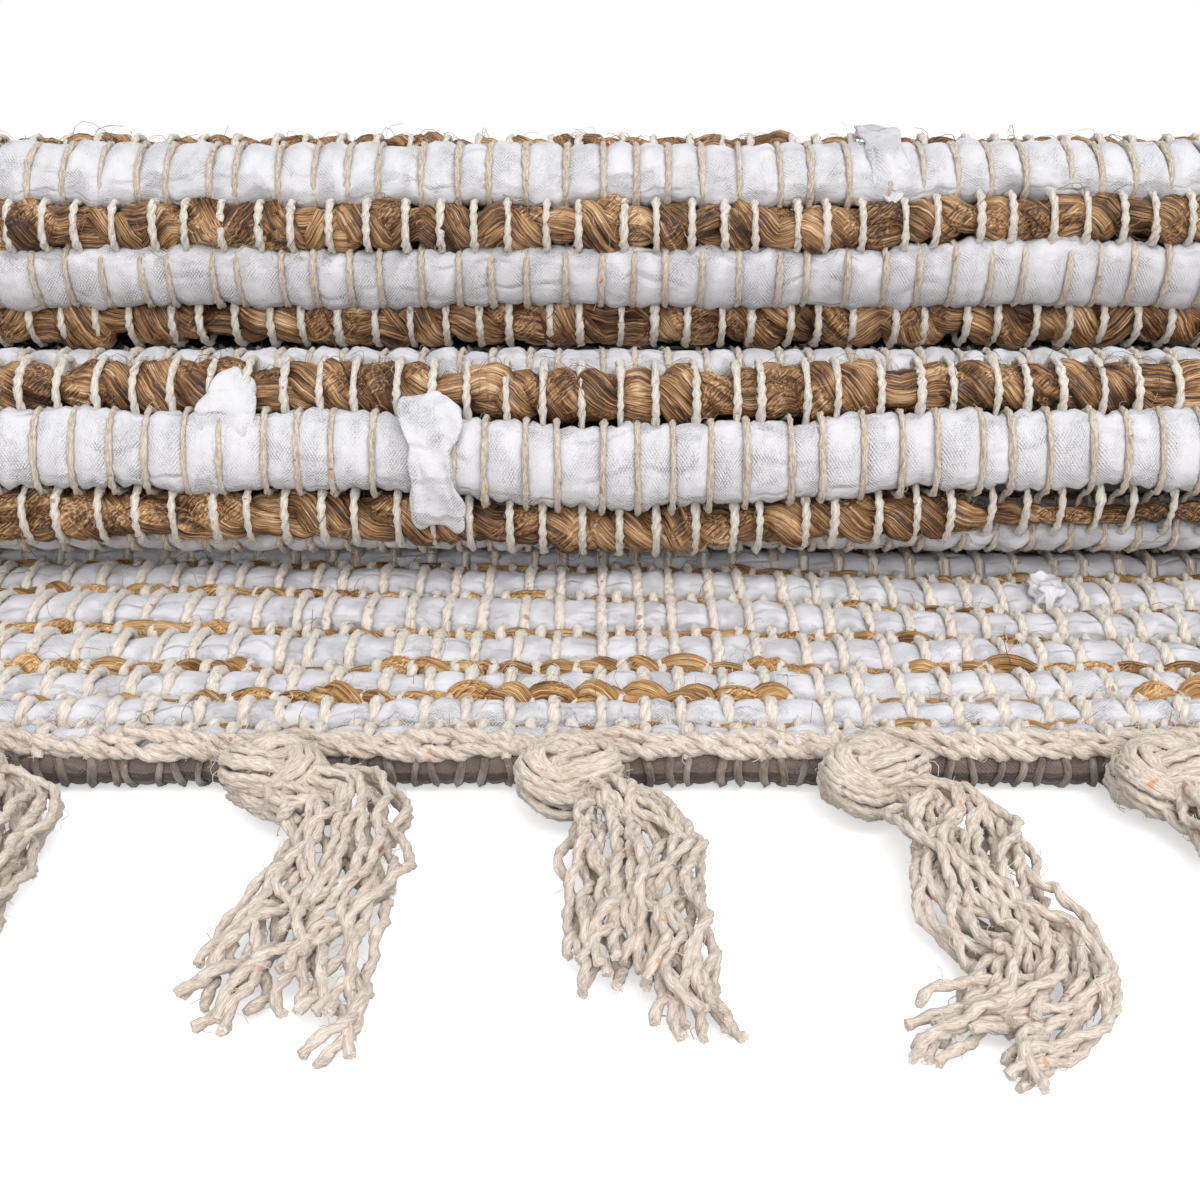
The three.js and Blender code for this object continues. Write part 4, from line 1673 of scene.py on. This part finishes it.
@dataclass
class Fringe:
    """The tassels at both ends of the rug."""

    weave: Weave
    tree: PlyTree
    finishes: Finishes
    close: Yarn = Yarn(2, 0.53, 0.24, 5.6, 5)
    plain: Yarn = Yarn(1, 0.80, 0.0, 20.0, 3)
    floor_gap: float = 0.9
    near_x: tuple[float, float] = (-80.0, 120.0)
    strands: int = 24
    far_strands: int = 15
    far_stride: int = 3
    back_number: int = 100
    back_knot: float = 1.6
    back_drop: float = 3.0
    knot_height: float = 6.6

    def front_pose(self, index: int) -> Pose:
        """Returns how a front tassel lies."""
        posed = {
            7: Pose(
                ((8, -8, -2), (11, -13, -2), (11, -24, -3), (9, -35, -4), (4, -50, -5)),
                (3.0, 6.6, 7.4, 8.4),
            ),
            8: Pose(
                ((6, -9, -1), (12, -12, -1), (11.8, -20, -2), (12, -32, -3), (10, -45, -4), (7, -60, -5)),
                (3.0, 7.2, 8.0, 8.4, 9.4), shift=1.2,
            ),
            9: Pose(
                ((3, -9, -1), (7.0, -13, -1), (7.4, -21, -2), (7.8, -33, -3), (8.2, -45, -4), (8.2, -62, -5)),
                (3.4, 7.4, 7.8, 8.0, 9.4), flip=-1,
            ),
            10: Pose(
                ((4, -8, -1), (8, -12, -1), (7.5, -22, -2), (6.5, -31, -3), (9, -38, -4), (13.5, -44, -4),
                 (9, -52, -4.5), (0, -58, -5), (-5, -69, -5)),
                (3.4, 6.4, 6.6, 7.0, 7.4, 7.0, 6.4), flip=-1, shift=-1.6,
            ),
            11: Pose(
                ((1, -8, -1), (4, -11, -2), (5, -17, -3), (9, -22, -4), (16, -27, -5), (20, -38, -5)),
                (3.0, 6.0, 6.4, 7.0, 8.0), flip=-1, shift=-4.8,
            ),
        }
        if index in posed:
            return posed[index]
        rng = noise_rng(Draw.TASSEL_POSE, index)
        bend = rng.uniform(-6, 6)
        shares = (0.0, 0.2, 0.4, 0.6, 0.8, 1.0)
        tail = tuple((bend * t + rng.uniform(-2, 2), -11 - 44 * t, -2 - 3.2 * t) for t in shares)
        return Pose(tail, (3.0, 6.6, 7.0, 7.4, 8.0), flip=int(rng.choice((-1, 1))))

    def build(self) -> list[Piece]:
        """Makes all the tassels and returns those seen closely."""
        weave = self.weave
        pitch = weave.pitch * weave.bunch
        close_pieces = []
        for index in range(weave.bunches):
            x = (index - (weave.bunches - 1) / 2) * pitch
            low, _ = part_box("front_twined_edge")
            pose = self.front_pose(index)
            start = Vector((x + pose.shift, low.y / MM, self.knot_height))
            near = self.near_x[0] < x < self.near_x[1]
            strands = self.strands if near else self.far_strands
            tassel = Tassel(index, Lie.FLOOR, start, pose.tail, pose.widths, strands, flip=pose.flip)
            piece = self._make(tassel, f"front_tassel_{index + 1:02d}", near)
            if near:
                close_pieces.append(piece)
            _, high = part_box("back_twined_edge")
            hang = tuple((0.6 * math.sin(index + k), -9.0 + 0.9 * k, -2 - 11 * k) for k in range(1, 5))
            start = Vector((x, high.y / MM, high.z / MM - self.back_drop))
            hand = 1 if index % 2 else -1
            widths = (2.5, 3.6, 4.4, 5.0)
            number = self.back_number + index
            tassel = Tassel(
                number, Lie.HANGING, start, hang, widths, self.far_strands, flip=hand,
                knot_size=self.back_knot,
            )
            self._make(tassel, f"back_tassel_{index + 1:02d}", False)
        return close_pieces

    def _make(self, tassel: Tassel, node: str, near: bool) -> Piece:
        """Makes one tassel's piece."""
        spine, share = tassel.spine()
        lines = Lines()
        for k in range(tassel.strands):
            points = tassel.strand(k, spine, share)
            if tassel.lie is Lie.HANGING:
                points = points * np.array([1, -1, 1])
            points = points + np.array(tassel.start)
            bottom, ease = self.floor_gap, 0.7
            points[:, 2] = bottom + np.logaddexp(0, (points[:, 2] - bottom) / ease) * ease
            if not near:
                points = points[:: self.far_stride]
            lines.add(points, turn=noise_rng(Draw.FRINGE_LOT, tassel.number, k).uniform())
        yarn = self.close if near else self.plain
        piece = yarn.grow(self.tree, lines, f"{node}_yarns", self.finishes.ecru)
        return seat(piece, "warp_cotton", node)


@dataclass(frozen=True)
class Coat:
    """The stray fibres of one kind of piece.

    density counts them on a square metre, and length and radius are in mm. Each is made of that many
    straight steps and may lie over by lie, in radians. Across the rug they grow only where they show.
    """

    label: str
    slot: str
    density: float
    length: float
    radius: float
    steps: int = 2
    lie: float = 1.1
    across: tuple[float, float] = (-92.0, 142.0)
    seed: int = 3

    def grow(self, tree: HairTree, skin: Piece) -> None:
        """Grows the fibres on one piece, as a piece of their own if there are any."""
        source = put("skin", skin.data)
        bpy.context.view_layer.update()
        left, right = self.across
        piece = tree.grow(
            source, f"{skin.name}_{self.label}", Density=self.density, Length=self.length * MM,
            Radius=self.radius * MM, Lie=self.lie, Steps=self.steps, Left=left * MM, Right=right * MM,
            Seed=self.seed, Material=skin.data.materials[0],
        )
        bpy.data.objects.remove(source)
        if piece.data.polygons:
            seat(piece, self.slot)
        else:
            bpy.data.objects.remove(piece)


# ------------------------------------------------------------------- the studio


@dataclass(frozen=True)
class Lamp:
    """A soft lamp: its power in watts, its width and height, where it hangs and what it faces, in metres."""

    name: str
    energy: float
    size: tuple[float, float]
    place: tuple[float, float, float]
    target: tuple[float, float, float] = (0.02, -0.12, 0.03)

    def hang(self) -> None:
        """Makes the lamp."""
        lamp = bpy.data.lights.new(self.name, "AREA")
        lamp.shape = "RECTANGLE"
        lamp.size, lamp.size_y = self.size
        lamp.energy = self.energy
        holder = put(self.name, lamp)
        holder.location = self.place
        aim = Vector(self.target) - Vector(self.place)
        holder.rotation_euler = aim.to_track_quat("-Z", "Y").to_euler()


@dataclass
class Studio:
    """The floor, the light and the camera. Its lengths are in mm, except the floor's, in metres."""

    line: FoldLine
    lens: float = 45.69
    sensor: float = 36.0
    height: float = 97.4
    pitch: float = 19.69
    from_tip: float = 254.0
    across: float = 24.4
    surround: float = 0.60
    floor_reach: float = 30.0
    lamps: tuple[Lamp, ...] = (
        Lamp("top_light", 6.4, (1.0, 0.6), (0.35, -0.70, 0.90)),
        Lamp("fill_light", 2.6, (0.7, 0.30), (0.0, -0.80, 0.27)),
    )

    def build(self) -> None:
        """Makes all three."""
        self.floor()
        self.light()
        self.camera()

    def floor(self) -> None:
        """Lays a wide pale sheet under the rug."""
        mesh = bpy.data.meshes.new("floor")
        reach = self.floor_reach
        corners = [(-reach, -reach, 0), (reach, -reach, 0), (reach, reach, 0), (-reach, reach, 0)]
        mesh.from_pydata(corners, [], [(0, 1, 2, 3)])
        mesh.materials.append(Paper().material())
        put("floor", mesh)

    def light(self) -> None:
        """Sets an even white surround, a wide soft lamp above in front and a weak one low in front."""
        scene = bpy.context.scene
        scene.view_settings.view_transform = "Standard"
        scene.view_settings.look = "None"
        world = bpy.data.worlds.new("surround")
        world.use_nodes = True
        graph = Graph(world.node_tree)
        direct = graph.add("ShaderNodeLightPath").outputs["Is Camera Ray"]
        strength = graph.math("MULTIPLY_ADD", direct, 1.0 - self.surround, self.surround)
        back = graph.add("ShaderNodeBackground", {"Color": (1, 1, 1, 1), "Strength": strength})
        graph.feed(graph.add("ShaderNodeOutputWorld").inputs[0], back.outputs[0])
        scene.world = world
        for lamp in self.lamps:
            lamp.hang()

    def camera(self) -> None:
        """Stands the camera low in front of the folds."""
        data = bpy.data.cameras.new("camera")
        data.lens = self.lens
        data.sensor_width = self.sensor
        data.clip_start = 0.01
        camera = put("camera", data)
        camera.location = (self.across * MM, (self.line.tip - self.from_tip) * MM, self.height * MM)
        camera.rotation_euler = (math.radians(90 - self.pitch), 0, 0)
        bpy.context.scene.camera = camera


def declare_cloth(rag: list[Piece], weave: Weave) -> None:
    """Logs how wide and how long each layer of the fold is cut.

    Args:
        rag: Each layer's rag picks, which carry the layer.
        weave: The plan of the cloth.
    """
    line = weave.line
    middles = [start + math.pi * fold.radius / 2 for start, fold in zip(line.starts, line.folds)]
    lengths = np.diff([0.0, *middles, line.length])
    for layer, piece in enumerate(rag):
        size = (weave.width * MM, float(lengths[layer]) * MM)
        log.info("%s: cut %.1f by %.1f mm", piece.name, size[0] / MM, size[1] / MM)


def main() -> None:
    """Builds the rug and the studio."""
    logging.basicConfig(level=logging.INFO, format="%(message)s")
    line = FoldLine()
    studio = Studio(line)
    studio.build()
    weave = Weave(line)
    finishes = Finishes()
    ply = PlyTree()
    rag = RagWeft(weave, finishes.rag).build()
    jute = JuteWeft(weave, ply, finishes).build()
    flat_warps, folded_warps = WarpYarns(weave, ply, finishes).build()
    for node, front in (("front_twined_edge", True), ("back_twined_edge", False)):
        cords = TwinedEdge(weave, ply, finishes).build(node, front)
        if front:
            flat_warps.append(cords)
    tassels = Fringe(weave, ply, finishes).build()
    near = (-72.0, 122.0)
    coats = (
        (jute[Detail.CLOSE], Coat("hairs", "jute", 80000.0, 6.0, 0.05, steps=4, lie=1.3)),
        (flat_warps, Coat("fuzz", "warp_cotton", 190000.0, 1.7, 0.06, across=near)),
        (folded_warps, Coat("fuzz", "warp_cotton", 65000.0, 1.5, 0.036)),
        (tassels, Coat("fuzz", "warp_cotton", 85000.0, 2.3, 0.048)),
    )
    hair = HairTree()
    for pieces, coat in coats:
        for piece in pieces:
            coat.grow(hair, piece)
    declare_cloth(rag, weave)


if __name__ == "__main__":
    main()
